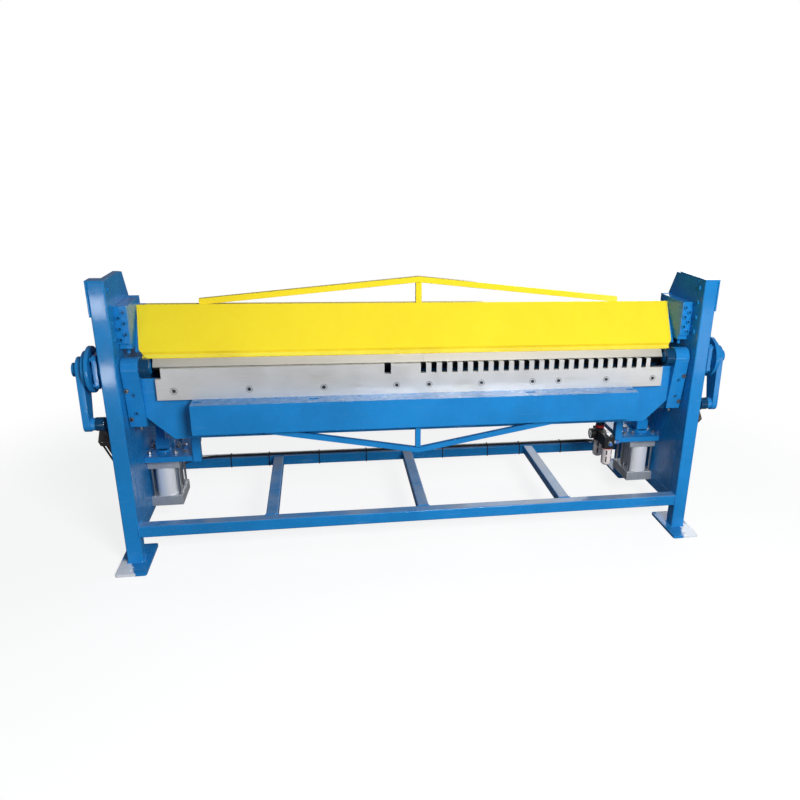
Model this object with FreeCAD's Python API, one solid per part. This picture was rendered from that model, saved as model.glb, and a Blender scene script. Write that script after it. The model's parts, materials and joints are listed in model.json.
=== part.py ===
# Sheet metal folding machine for two metre sheet, worked by air cylinders.
# A welded frame of square tube carries a lower beam with the bed jaw. A clamp
# beam with the upper jaws slides straight up and down between guides at the two
# ends. The folding apron hangs on two pivots in line with the bed edge and swings
# forward and up. Cranks outside the frame join the apron to two leaning air
# cylinders, and two pairs of upright cylinders drive the clamp beam.
# X runs along the machine, Y to the back, Z up. Sizes are in millimetres and are
# measured from the middle of the length, the front of the posts and the floor.
# The finished pieces are then moved so that the middle of the footprint is zero.
import FreeCAD, Part
import math
import os

V = FreeCAD.Vector
ALONG_X = V(1, 0, 0)
ALONG_Y = V(0, 1, 0)
ALONG_Z = V(0, 0, 1)

# Welded frame
bay_width = 2348.0
frame_depth = 750.0
post_height = 1162.0
post_size = 60.0
post_wall = 4.0
tube_corner = 5.0
rail_size = 50.0
rail_wall = 3.0
rail_top = 174.0
crossbar_width = 50.0
crossbar_height = 40.0
crossbar_pitch = 650.0
side_rail_top = 165.0
rear_leg_height = 440.0
side_plate_thickness = 12.0
side_plate_top_reach = 210.0
foot_thickness = 12.0
foot_width = 120.0
foot_length = 252.0
foot_toe = 92.0
foot_corner = 10.0
foot_hole_diameter = 16.0
foot_hole_inset = 27.0

# Cover over the head of each post, and the flange behind it
cover_sheet = 6.0
cover_height = 127.0
top_flange_width = 24.0
top_flange_length = 171.0

# Folding axis and bed
bed_height = 818.0
shaft_diameter = 45.0
shaft_to_post = 2.5
plate_hole_play = 1.5
bearing_clearance = 0.05
beam_wall = 8.0
lower_beam_height = 220.0
lower_beam_front = 87.0
lower_beam_depth = 120.0
jaw_height = 38.0
jaw_tip_gap = 2.0
jaw_tip_edge = 6.0
jaw_bevel_run = 38.0
jaw_end_gap = 44.0

# Clamp beam, which slides up
clamp_gap = 1.0
upper_jaw_height = 31.0
upper_jaw_bevel = 22.0
upper_jaw_depth = 142.0
upper_jaw_end_gap = 44.0
jaw_joint = 0.4
upper_jaw_setback = 1.0
clamp_beam_height = 180.0
clamp_beam_depth = 215.0
clamp_beam_length = 2258.0
beam_end_thickness = 27.0
beam_end_lift = 22.0
panel_thickness = 5.0
panel_run = 124.0
panel_rise = 168.0
panel_fold_run = 33.0
panel_fold_rise = 50.0
lip_run = 15.0
lip_rise = 16.0
panel_end_taper = 14.0
panel_lip_cut = 50.0
panel_taper_from = 12.0
clamp_truss_bar = 25.0
clamp_truss_span = 1786.0
clamp_truss_rise = 114.0
clamp_truss_from_back = 48.5

# Slide blocks and their guides
slide_clearance = 0.5
slide_block_height = 166.0
slide_block_lift = 74.0
guide_thickness = 12.0
guide_height = 145.0
guide_head_room = 2.0
guide_end_gap = 1.0
guide_face_lead = 1.0
guide_screw_rows = 6
guide_screw_pitch = 21.0
guide_screw_stagger = 19.0
stop_stud_radius = 7.0
stop_stud_length = 24.0

# Folding apron
apron_plate_thickness = 16.0
apron_plate_height = 256.0
apron_plate_drop = 42.0
apron_corner_run = 98.0
apron_corner_rise = 95.0
apron_box_length = 1850.0
apron_box_depth = 102.0
apron_box_height = 122.0
apron_box_wall = 6.0
box_slot_length = 42.0
box_slot_width = 14.0
box_slot_inset = 20.0
blade_thickness = 20.0
blade_height = 128.0
blade_left_reach = 1055.0
blade_right_reach = 1062.0
blade_joints = (-29.0, 522.5)
notch_depth = 41.0
notch_width = 22.0
notch_pitch = 44.2
first_notch_offset = -3.0
notch_count = 23
single_notch_at = -150.5
single_notch_width = 27.0
blade_end_steps = (22.0, 62.0)
blade_screw_places = (-990.0, -704.0, -411.0, -114.0, 21.0, 245.0, 469.0, 585.0, 802.0, 1018.0)
blade_screw_drop = 91.0
counterbore_radius = 13.0
counterbore_depth = 9.0
apron_truss_bar = 22.0
apron_truss_at = -30.0
apron_truss_reach = 640.0
apron_truss_drop = 126.0
apron_truss_from_front = 41.0

# Apron arms, pivots and cranks
arm_gap = 3.0
arm_width = 63.0
arm_head_radius = 43.0
arm_length = 240.0
arm_foot_front = 5.0
arm_foot_back = 55.0
arm_hub_radius = 36.0
arm_hub_length = 38.0
arm_flange_width = 63.0
arm_flange_thickness = 12.0
arm_flange_end = 6.0
arm_screw_drops = (102.0, 181.0)
arm_stud_drops = (83.0, 206.0)
screw_head_radius = 9.0
screw_head_height = 8.0
screw_shank_radius = 6.0
screw_hole_play = 0.3
screw_room = 1.0
screw_bite = 16.0
screw_sink = 8.0
stud_sink = 2.4
boss_radius = 55.0
bearing_standoff = 12.0
bearing_flange = 130.0
bearing_flange_thickness = 16.0
bearing_flange_corner = 14.0
bearing_bolt_offset = 50.0
bearing_nose_radius = 50.0
bearing_nose_length = 10.0
disc_gap = 1.0
disc_radius = 90.0
disc_rim = 14.0
disc_step_radius = 72.0
disc_step = 17.0
crank_thickness = 25.0
crank_head_radius = 50.0
crank_foot_radius = 29.0
crank_pin_forward = 30.0
crank_pin_drop = 213.0
crank_boss_radius = 25.0
crank_pin_gap = 1.0
hub_cap_radius = 27.0
hub_cap_length = 20.0

# Folding cylinders beside the frame
fold_cylinder_out = 36.0
fold_pin_back = 365.0
fold_pin_height = 188.0
fold_pin_radius = 8.0
fold_cap = 70.0
fold_cap_length = 35.0
fold_bore = 52.0
fold_barrel_wall = 4.0
fold_rod_radius = 10.0
fold_rod_showing = 95.0
fold_eye_radius = 20.0
fold_eye_neck = 8.0
rod_eye_radius = 27.0
fold_eye_thickness = 32.0
fold_piston_length = 25.0
fold_piston_rest = 2.0
rod_eye_neck = 12.0
rod_eye_neck_radius = 15.0
fold_tie_radius = 4.0
fold_tie_offset = 27.0
bracket_ear = 12.0
bracket_gap = 2.0
bracket_base = 15.0
bracket_length = 70.0
moving_clearance = 0.3

# Clamp cylinders under the bed
clamp_cap_width = 130.0
clamp_cap_depth = 90.0
clamp_cap_height = 44.0
clamp_cylinder_height = 221.0
clamp_cylinder_gap = 2.0
clamp_cylinder_front = 272.0
clamp_plate_thickness = 23.0
clamp_plate_level = 357.0
clamp_plate_front = 235.0
clamp_plate_back = 485.0
clamp_plate_reach = 67.0
clamp_barrel_radius = 44.0
clamp_bore_radius = 40.0
clamp_rod_radius = 14.0
clamp_piston_length = 25.0
clamp_piston_rest = 3.0
clamp_tie_radius = 5.0
clamp_tie_in = 12.0
crosshead_rise = 14.0
crosshead_height = 48.0
crosshead_width = 56.0
pull_bar_width = 34.0
pull_bar_depth = 25.0
pull_bar_reach = 150.0
hanger_width = 35.0
hanger_depth = 40.0
hanger_wall = 3.0
hanger_front = 225.0
hanger_lift = 2.0

# Air unit on the right hanger
unit_width = 44.0
unit_bracket = 12.0
unit_bracket_height = 30.0
unit_front = 205.0
unit_length = 165.0
unit_height = 55.0
unit_level = 340.0
inlet_radius = 5.72
inlet_depth = 14.0
bowl_radius = 24.0
bowl_height = 88.0
bowl_taper = 8.0
bowl_pitch = 115.0
knob_radius = 20.0
knob_height = 38.0
knob_grooves = 12
knob_groove_radius = 2.5
knob_neck_radius = 12.0
knob_neck_height = 7.0
dome_radius = 11.0
gauge_radius = 25.0
gauge_depth = 26.0
gauge_rim = 2.5
gauge_recess = 6.0
needle_length = 17.0
needle_width = 2.4
needle_thickness = 1.0
needle_pin_radius = 1.5
needle_pin_length = 3.0
needle_stand_off = 1.0
needle_rest_angle = 45.0

# Two air hoses side by side, tied to the rear rail
hose_radius = 5.0
hose_play = 0.3
hose_pitch = 11.5
hose_straight = 40.0
hose_port_rise = 14.0
hose_drop = (40.0, 110.0, 75.0)
hose_fall = (95.0, 240.0)
hose_fall_height = 30.0
hose_turn_aside = 115.0
hose_turn = 120.0
hose_turn_back = 60.0
hose_end_run = 70.0
hose_end_aside = 24.0
tie_crown = 1.0
tie_thickness = 1.5
tie_width = 5.0
tie_places = (-885.0, -700.0, -452.0, -213.0, 186.0, 429.0, 605.0, 835.0)

# Places that follow from the sizes
half_bay = bay_width / 2
post_out = half_bay + post_size
cover_back = post_size + cover_sheet
post_mid = half_bay + post_size / 2
plate_out = half_bay + side_plate_thickness
axis_y = post_size + shaft_to_post + shaft_diameter / 2
shaft_radius = shaft_diameter / 2
arm_out = half_bay - arm_gap
arm_in = arm_out - arm_width
jaw_bottom = bed_height - jaw_height
lower_beam_y = axis_y + lower_beam_front
lower_beam_back = lower_beam_y + lower_beam_depth
apron_front = axis_y - blade_thickness
blade_bottom = bed_height - blade_height
box_bottom = blade_bottom - apron_box_height
box_front = axis_y - apron_box_depth
apron_plate_top = bed_height - apron_plate_drop
apron_plate_bottom = apron_plate_top - apron_plate_height
arm_bottom = bed_height - arm_length
upper_jaw_bottom = bed_height + clamp_gap
clamp_bottom = upper_jaw_bottom + upper_jaw_height
clamp_top = clamp_bottom + clamp_beam_height
clamp_back = axis_y + clamp_beam_depth
clamp_half = clamp_beam_length / 2
slide_bottom = bed_height + slide_block_lift
slide_out = half_bay - slide_clearance
guide_back = axis_y - guide_face_lead + guide_thickness
crank_pin = (axis_y - crank_pin_forward, bed_height - crank_pin_drop)
rear_pin = (axis_y + fold_pin_back, fold_pin_height)
fold_x = post_out + fold_cylinder_out
bearing_back = post_out + bearing_standoff
bearing_face = bearing_back + bearing_flange_thickness
disc_back = bearing_face + bearing_nose_length + disc_gap
crank_in = disc_back + disc_rim + disc_step
crank_out = crank_in + crank_thickness
foot_front = -foot_toe
foot_back = frame_depth + foot_toe
origin_y = (foot_front + foot_back) / 2
clamp_cylinder_x = half_bay - clamp_cap_width / 2
clamp_cylinder_bottom = clamp_plate_level - clamp_cylinder_height
crosshead_bottom = clamp_plate_level + clamp_plate_thickness + crosshead_rise
plate_in = clamp_cylinder_x - clamp_cap_width / 2 - clamp_plate_reach
unit_x = plate_in - hanger_width - unit_bracket - unit_width / 2

pieces = {}


def box(x0, x1, y0, y1, z0, z1):
    """Block between two corners."""
    return Part.makeBox(x1 - x0, y1 - y0, z1 - z0, V(x0, y0, z0))


def bar(radius, x, y, z, length, way):
    """Round bar from its start point."""
    return Part.makeCylinder(radius, length, V(x, y, z), way)


def side_profile(points, x0, x1):
    """Piece with its outline in the side view, between two places along the machine."""
    ring = [V(x0, y, z) for y, z in points]
    return Part.Face(Part.makePolygon(ring + ring[:1])).extrude(V(x1 - x0, 0, 0))


def front_profile(points, y0, y1):
    """Piece with its outline in the front view, between two depths."""
    ring = [V(x, y0, z) for x, z in points]
    return Part.Face(Part.makePolygon(ring + ring[:1])).extrude(V(0, y1 - y0, 0))


def tube(x0, x1, y0, y1, z0, z1, wall, way):
    """Square tube with rounded long edges, open at both ends."""
    block = box(x0, x1, y0, y1, z0, z1)
    long_edges = [e for e in block.Edges if abs(e.tangentAt(0).dot(way)) > 0.9]
    block = block.makeFillet(tube_corner, long_edges)
    keep_x = 1 - way.x
    keep_y = 1 - way.y
    keep_z = 1 - way.z
    hollow = box(x0 + wall * keep_x, x1 - wall * keep_x, y0 + wall * keep_y,
                 y1 - wall * keep_y, z0 + wall * keep_z, z1 - wall * keep_z)
    return block.cut(hollow)


def hollow_profile(points, wall, x0, x1):
    """Closed sheet box of any section, open at its two ends."""
    ring = [V(x0, y, z) for y, z in points]
    outer = Part.Face(Part.makePolygon(ring + ring[:1]))
    inner = outer.makeOffset2D(-wall)
    return outer.cut(inner).extrude(V(x1 - x0, 0, 0))


def link(centre_a, radius_a, centre_b, radius_b, x0, x1):
    """Plate with two round ends joined by straight tangent sides."""
    run = centre_b[0] - centre_a[0]
    rise = centre_b[1] - centre_a[1]
    distance = math.hypot(run, rise)
    lean = math.acos((radius_a - radius_b) / distance)
    heading = math.atan2(rise, run)
    corners = []
    for centre, radius, side in ((centre_a, radius_a, 1), (centre_b, radius_b, 1),
                                 (centre_b, radius_b, -1), (centre_a, radius_a, -1)):
        angle = heading + side * lean
        corners.append((centre[0] + radius * math.cos(angle), centre[1] + radius * math.sin(angle)))
    head = bar(radius_a, x0, centre_a[0], centre_a[1], x1 - x0, ALONG_X)
    foot = bar(radius_b, x0, centre_b[0], centre_b[1], x1 - x0, ALONG_X)
    return side_profile(corners, x0, x1).fuse([head, foot]).removeSplitter()


def mirrored(shape):
    """The same piece on the left of the machine."""
    return shape.mirror(V(0, 0, 0), ALONG_X)


def keep(name, *solids):
    """Store one sub-part, as a group where it has several solids."""
    pieces[name] = solids[0] if len(solids) == 1 else Part.makeCompound(list(solids))


def keep_sides(name, *right):
    """Store the right pieces and their mirror images as two sub-parts."""
    keep("left_" + name, *[mirrored(shape) for shape in right])
    keep("right_" + name, *right)


def keep_pair(name, *right):
    """Store pieces and their mirror images together as one sub-part."""
    keep(name, *[mirrored(shape) for shape in right], *right)


# Frame

def make_post():
    post = tube(half_bay, post_out, 0, post_size, foot_thickness, post_height, post_wall, ALONG_Z)
    keep_sides("post", post)


def make_top_cover():
    """Folded sheet hood over the head of the post, open below and towards the bay."""
    low = post_height - cover_height
    outer = box(half_bay, post_out + cover_sheet, 0, cover_back, low, post_height + cover_sheet)
    room = box(half_bay, post_out, 0, post_size, low, post_height)
    keep_pair("top_covers", outer.cut(room).cut(side_plate()))


def side_plate_outline():
    """Side view of the plate behind the post, sloping down to the rear leg."""
    top_back = post_size + side_plate_top_reach
    rear = frame_depth - post_size
    return [(post_size, side_rail_top), (post_size, post_height), (top_back, post_height),
            (rear, rear_leg_height), (rear, side_rail_top)]


def side_plate():
    plate = side_profile(side_plate_outline(), half_bay, plate_out)
    flange = box(half_bay, half_bay + top_flange_width, cover_back, cover_back + top_flange_length,
                 post_height, post_height + cover_sheet)
    plate = plate.fuse(flange).removeSplitter()
    opening = bar(shaft_radius + plate_hole_play, half_bay, axis_y, bed_height,
                  side_plate_thickness, ALONG_X)
    return plate.cut(opening)


def make_side_frame():
    keep_sides("side_plate", side_plate())
    keep_sides("side_rail", tube(half_bay, post_out, post_size, frame_depth - post_size,
                                 side_rail_top - post_size, side_rail_top, post_wall, ALONG_Y))
    keep_sides("rear_leg", tube(half_bay, post_out, frame_depth - post_size, frame_depth,
                                foot_thickness, rear_leg_height, post_wall, ALONG_Z))


def foot_plate(y0, y1, hole_y):
    """Floor plate with rounded corners and one anchor hole."""
    plate = box(post_mid - foot_width / 2, post_mid + foot_width / 2, y0, y1, 0, foot_thickness)
    upright = [e for e in plate.Edges if abs(e.tangentAt(0).z) > 0.9]
    plate = plate.makeFillet(foot_corner, upright)
    return plate.cut(bar(foot_hole_diameter / 2, post_mid, hole_y, 0, foot_thickness, ALONG_Z))


def make_feet():
    front = foot_plate(foot_front, foot_front + foot_length, foot_front + foot_hole_inset)
    back = foot_plate(foot_back - foot_length, foot_back, foot_back - foot_hole_inset)
    keep_pair("front_feet", front)
    keep_pair("rear_feet", back)


def make_rails():
    low = rail_top - rail_size
    keep("front_rail", tube(-half_bay, half_bay, 0, rail_size, low, rail_top, rail_wall, ALONG_X))
    keep("rear_rail", tube(-half_bay, half_bay, frame_depth - rail_size, frame_depth,
                           low, rail_top, rail_wall, ALONG_X))
    bars = []
    for step in (-1, 0, 1):
        middle = step * crossbar_pitch
        bars.append(tube(middle - crossbar_width / 2, middle + crossbar_width / 2,
                         rail_size, frame_depth - rail_size,
                         rail_top - crossbar_height, rail_top, rail_wall, ALONG_Y))
    keep("crossbars", *bars)


# Bed

def make_bed():
    low = jaw_bottom - lower_beam_height
    section = [(lower_beam_y, low), (lower_beam_back, low), (lower_beam_back, jaw_bottom),
               (lower_beam_y, jaw_bottom)]
    keep("lower_beam", hollow_profile(section, beam_wall, -half_bay, half_bay))
    tip = axis_y + jaw_tip_gap
    jaw = [(tip, bed_height), (tip, bed_height - jaw_tip_edge), (tip + jaw_bevel_run, jaw_bottom),
           (lower_beam_back, jaw_bottom), (lower_beam_back, bed_height)]
    half = arm_in - jaw_end_gap
    keep("lower_jaw", side_profile(jaw, -half, half))


# Clamp beam

def panel_line_y(z):
    """Depth of the sloping panel's outer face at a height."""
    return axis_y + panel_fold_run + (z - bed_height - panel_fold_rise) * panel_run / panel_rise


def beam_front_y(z):
    """Depth of the clamp beam's front wall, one panel thickness behind the panel face."""
    slope_length = math.hypot(panel_run, panel_rise)
    return panel_line_y(z) + panel_thickness * slope_length / panel_rise


def make_clamp_beam():
    section = [(beam_front_y(clamp_bottom), clamp_bottom), (clamp_back, clamp_bottom),
               (clamp_back, clamp_top), (beam_front_y(clamp_top), clamp_top)]
    half = clamp_half - beam_end_thickness
    keep("clamp_beam", hollow_profile(section, beam_wall, -half, half))


def make_clamp_panel():
    """Bent sheet on the beam's slope, with a lip along its foot and tapered ends."""
    fold = (axis_y + panel_fold_run, bed_height + panel_fold_rise)
    foot = (fold[0] - lip_run, fold[1] - lip_rise)
    head = (fold[0] + panel_run, fold[1] + panel_rise)
    lip_angle = math.atan2(lip_rise, lip_run)
    face_angle = math.atan2(panel_rise, panel_run)
    middle = (lip_angle + face_angle) / 2
    mitre = panel_thickness / math.cos((face_angle - lip_angle) / 2)

    def behind(point, angle, distance):
        return (point[0] + distance * math.sin(angle), point[1] - distance * math.cos(angle))

    strip = [foot, fold, head, behind(head, face_angle, panel_thickness),
             behind(fold, middle, mitre), behind(foot, lip_angle, panel_thickness)]
    panel = side_profile(strip, -clamp_half, clamp_half)
    corner = fold[1] + panel_taper_from
    narrow = clamp_half - panel_end_taper
    low = clamp_bottom - panel_thickness
    high = head[1] + panel_thickness
    outline = [(-narrow + panel_lip_cut - panel_end_taper, low), (-narrow, corner), (-clamp_half, high),
               (clamp_half, high), (narrow, corner), (narrow - panel_lip_cut + panel_end_taper, low)]
    keep("clamp_panel", panel.common(front_profile(outline, axis_y, clamp_back)))


def make_clamp_truss():
    """Flat roof truss of square bar over the clamp beam."""
    half_bar = clamp_truss_bar / 2
    middle = clamp_back - clamp_truss_from_back + half_bar
    half_span = clamp_truss_span / 2
    slope = (clamp_truss_rise - clamp_truss_bar) / half_span
    crest = clamp_top + clamp_truss_rise
    limb = [(0, crest), (half_span, clamp_top + clamp_truss_bar), (half_span, clamp_top),
            (0, crest - clamp_truss_bar)]
    right = front_profile(limb, middle - half_bar, middle + half_bar)
    post_top = crest - clamp_truss_bar - half_bar * slope
    post = box(-half_bar, half_bar, middle - half_bar, middle + half_bar, clamp_top, post_top)
    keep("clamp_truss", mirrored(right), right, post)


def make_upper_jaws():
    tip = axis_y + jaw_tip_gap + upper_jaw_setback
    heel = tip + upper_jaw_depth
    section = [(tip, upper_jaw_bottom), (tip + upper_jaw_bevel, clamp_bottom), (heel, clamp_bottom),
               (heel, clamp_bottom - upper_jaw_height / 2), (heel - upper_jaw_depth / 2, upper_jaw_bottom)]
    half = arm_in - upper_jaw_end_gap
    keep_sides("upper_jaw", side_profile(section, jaw_joint / 2, half))


def make_slides():
    """End plate of the clamp beam, clear of the arm heads, with the block that runs in the guides."""
    low = clamp_bottom + beam_end_lift
    section = [(beam_front_y(low), low), (clamp_back, low), (clamp_back, clamp_top),
               (beam_front_y(clamp_top), clamp_top)]
    end_plate = side_profile(section, clamp_half - beam_end_thickness, clamp_half)
    front = guide_back + slide_clearance
    block = box(clamp_half, slide_out, front, clamp_back, slide_bottom, slide_bottom + slide_block_height)
    stud_x = (clamp_half + slide_out) / 2
    stud = bar(stop_stud_radius, stud_x, axis_y + arm_head_radius, slide_bottom - stop_stud_length,
               stop_stud_length, ALONG_Z)
    keep_pair("slide_blocks", block, end_plate, stud)


def guide_screw_spots():
    """Centre and height of each screw in a front guide, in two staggered columns."""
    middle = (clamp_half + half_bay) / 2
    top = slide_bottom + slide_block_height - guide_screw_pitch
    spots = []
    for row in range(guide_screw_rows):
        offset = guide_screw_stagger / 2 * (1 if row % 2 else -1)
        spots.append((middle + offset, top - row * guide_screw_pitch))
    return spots


def make_guides():
    top = slide_bottom + slide_block_height + guide_head_room
    inner = clamp_half + guide_end_gap
    front_face = guide_back - guide_thickness
    front = box(inner, half_bay, front_face, guide_back, top - guide_height, top)
    back_face = clamp_back + slide_clearance
    back = box(inner, half_bay, back_face, back_face + guide_thickness, top - guide_height, top)
    screws = []
    for x, z in guide_screw_spots():
        hole = bar(screw_shank_radius + screw_hole_play, x, front_face, z, guide_thickness, ALONG_Y)
        front = front.cut(hole)
        head = bar(screw_head_radius, x, front_face - screw_head_height, z, screw_head_height, ALONG_Y)
        shank = bar(screw_shank_radius, x, front_face, z, guide_thickness, ALONG_Y)
        screws.append(head.fuse(shank))
    keep_pair("clamp_guides", front, back)
    keep_pair("guide_screws", *screws)


def make_pull_bars():
    """Bar behind each end of the beam, with a crosshead over the two cylinder rods."""
    upright = box(clamp_half - pull_bar_width, clamp_half, clamp_back, clamp_back + pull_bar_depth,
                  crosshead_bottom + crosshead_height, clamp_bottom + pull_bar_reach)
    last = clamp_cylinder_spots()[-1]
    crosshead = box(clamp_cylinder_x - crosshead_width / 2, clamp_cylinder_x + crosshead_width / 2,
                    clamp_back, last + 2 * clamp_rod_radius, crosshead_bottom,
                    crosshead_bottom + crosshead_height)
    keep_pair("pull_bars", upright, crosshead)


# Clamp cylinders

def clamp_cylinder_spots():
    """Depths of the two clamp cylinders on each side, one behind the other."""
    first = clamp_cylinder_front + clamp_cap_depth / 2
    return (first, first + clamp_cap_depth + clamp_cylinder_gap)


def make_clamp_cylinders():
    caps = []
    barrels = []
    ties = []
    pistons = []
    x = clamp_cylinder_x
    low = clamp_cylinder_bottom
    barrel_low = low + clamp_cap_height
    barrel_length = clamp_cylinder_height - 2 * clamp_cap_height
    top_cap_low = barrel_low + barrel_length
    plate = box(plate_in, half_bay, clamp_plate_front, clamp_plate_back, clamp_plate_level,
                clamp_plate_level + clamp_plate_thickness)
    for y in clamp_cylinder_spots():
        reach_x = clamp_cap_width / 2
        reach_y = clamp_cap_depth / 2
        foot = box(x - reach_x, x + reach_x, y - reach_y, y + reach_y, low, barrel_low)
        head = box(x - reach_x, x + reach_x, y - reach_y, y + reach_y, top_cap_low, clamp_plate_level)
        passage = bar(clamp_rod_radius + moving_clearance, x, y, top_cap_low,
                      clamp_cap_height + clamp_plate_thickness, ALONG_Z)
        caps.append(foot)
        caps.append(head.cut(passage))
        plate = plate.cut(passage)
        tube_wall = bar(clamp_barrel_radius, x, y, barrel_low, barrel_length, ALONG_Z)
        barrels.append(tube_wall.cut(bar(clamp_bore_radius, x, y, barrel_low, barrel_length, ALONG_Z)))
        for side_x in (-1, 1):
            for side_y in (-1, 1):
                ties.append(bar(clamp_tie_radius, x + side_x * (reach_x - clamp_tie_in),
                                y + side_y * (reach_y - clamp_tie_in), barrel_low, barrel_length, ALONG_Z))
        piston_low = barrel_low + clamp_piston_rest
        piston = bar(clamp_bore_radius - moving_clearance, x, y, piston_low, clamp_piston_length, ALONG_Z)
        stem = bar(clamp_rod_radius, x, y, piston_low, crosshead_bottom - piston_low, ALONG_Z)
        pistons.append(piston.fuse(stem))
    keep_pair("cylinder_plates", plate)
    keep_pair("clamp_cylinder_caps", *caps)
    keep_pair("clamp_barrels", *barrels)
    keep_pair("clamp_tie_rods", *ties)
    keep_pair("clamp_pistons", *pistons)
    keep_pair("hanger_tubes", tube(plate_in - hanger_width, plate_in, hanger_front,
                                   hanger_front + hanger_depth, clamp_plate_level + hanger_lift,
                                   jaw_bottom - lower_beam_height, hanger_wall, ALONG_Z))


# Apron

def make_apron():
    half = arm_in
    low_half = half - apron_corner_run
    corner_z = apron_plate_bottom + apron_corner_rise
    outline = [(-half, apron_plate_top), (half, apron_plate_top), (half, corner_z),
               (low_half, apron_plate_bottom), (-low_half, apron_plate_bottom), (-half, corner_z)]
    plate = front_profile(outline, axis_y, axis_y + apron_plate_thickness)
    section = [(box_front, box_bottom), (axis_y, box_bottom), (axis_y, blade_bottom),
               (box_front, blade_bottom)]
    half_box = apron_box_length / 2
    shelf = hollow_profile(section, apron_box_wall, -half_box + apron_box_wall, half_box - apron_box_wall)
    end_plate = side_profile(section, half_box - apron_box_wall, half_box)
    shelf = shelf.fuse([end_plate, mirrored(end_plate)]).removeSplitter()
    slot_y = box_front + (apron_box_depth - blade_thickness) / 2 + apron_box_wall
    straight = box_slot_length - box_slot_width
    outer_slot = half_box - box_slot_inset
    for place in (outer_slot / 2, outer_slot):
        for x in (-place, place):
            slot = box(x - straight / 2, x + straight / 2, slot_y - box_slot_width / 2,
                       slot_y + box_slot_width / 2, blade_bottom - apron_box_wall, blade_bottom)
            ends = [bar(box_slot_width / 2, x + end * straight / 2, slot_y,
                        blade_bottom - apron_box_wall, apron_box_wall, ALONG_Z) for end in (-1, 1)]
            shelf = shelf.cut(slot.fuse(ends))
    keep("apron_box", shelf)
    screw_z = bed_height - blade_screw_drop
    holes = [bar(screw_shank_radius + screw_hole_play, x, apron_front, screw_z,
                 blade_thickness + apron_plate_thickness, ALONG_Y) for x in blade_screw_places]
    keep("apron_plate", plate.cut(holes))
    make_blades(holes, screw_z)


def make_blades(holes, screw_z):
    """Three bolted lengths of blade, the right two notched for the finger joints of pans."""
    ends = (-blade_left_reach,) + blade_joints + (blade_right_reach,)
    cuts = [bar(counterbore_radius, x, apron_front, screw_z, counterbore_depth, ALONG_Y)
            for x in blade_screw_places]
    notch_low = bed_height - notch_depth
    for index in range(notch_count):
        middle = first_notch_offset + index * notch_pitch
        cuts.append(box(middle - notch_width / 2, middle + notch_width / 2, apron_front, axis_y,
                        notch_low, bed_height))
    cuts.append(box(single_notch_at - single_notch_width / 2, single_notch_at + single_notch_width / 2,
                    apron_front, axis_y, notch_low, bed_height))
    cuts.append(box(-blade_left_reach, blade_end_steps[0] - blade_left_reach, apron_front, axis_y,
                    notch_low, bed_height))
    cuts.append(box(blade_right_reach - blade_end_steps[1], blade_right_reach, apron_front, axis_y,
                    notch_low, bed_height))
    for name, x0, x1 in zip(("left_blade", "middle_blade", "right_blade"), ends, ends[1:]):
        blade = box(x0, x1, apron_front, axis_y, blade_bottom, bed_height)
        near = [c for c in holes + cuts if c.BoundBox.XMax > x0 and c.BoundBox.XMin < x1]
        keep(name, blade.cut(near))
    seat = apron_front + counterbore_depth
    screws = []
    for x in blade_screw_places:
        head = bar(screw_head_radius, x, seat - screw_head_height, screw_z, screw_head_height, ALONG_Y)
        shank = bar(screw_shank_radius, x, seat, screw_z,
                    blade_thickness - counterbore_depth + apron_plate_thickness, ALONG_Y)
        screws.append(head.fuse(shank))
    keep("blade_screws", *screws)


def make_apron_truss():
    """Shallow strut frame under the apron box, with a short post in its middle."""
    middle_y = box_front + apron_truss_from_front
    half_bar = apron_truss_bar / 2
    y0 = middle_y - half_bar
    y1 = middle_y + half_bar
    low = box_bottom - apron_truss_drop
    slope = (apron_truss_drop - apron_truss_bar) / apron_truss_reach
    limbs = []
    for side in (-1, 1):
        end = apron_truss_at + side * apron_truss_reach
        inner_end = end - side * half_bar / slope
        limb = [(apron_truss_at, low), (end, box_bottom - half_bar), (end, box_bottom),
                (inner_end, box_bottom), (apron_truss_at, low + apron_truss_bar)]
        limbs.append(front_profile(limb, y0, y1))
    rise = (box_bottom - low - apron_truss_bar) / (apron_truss_reach - half_bar / slope)
    post = box(apron_truss_at - half_bar, apron_truss_at + half_bar, y0, y1,
               low + apron_truss_bar + half_bar * rise, box_bottom)
    keep("apron_truss", *limbs, post)


# Arms, pivots and cranks

def arm_front_y(z):
    """Depth of the arm's front edge, which runs back towards its foot."""
    run = arm_head_radius - arm_foot_front
    return axis_y - arm_head_radius + run * (bed_height - z) / arm_length


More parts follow.
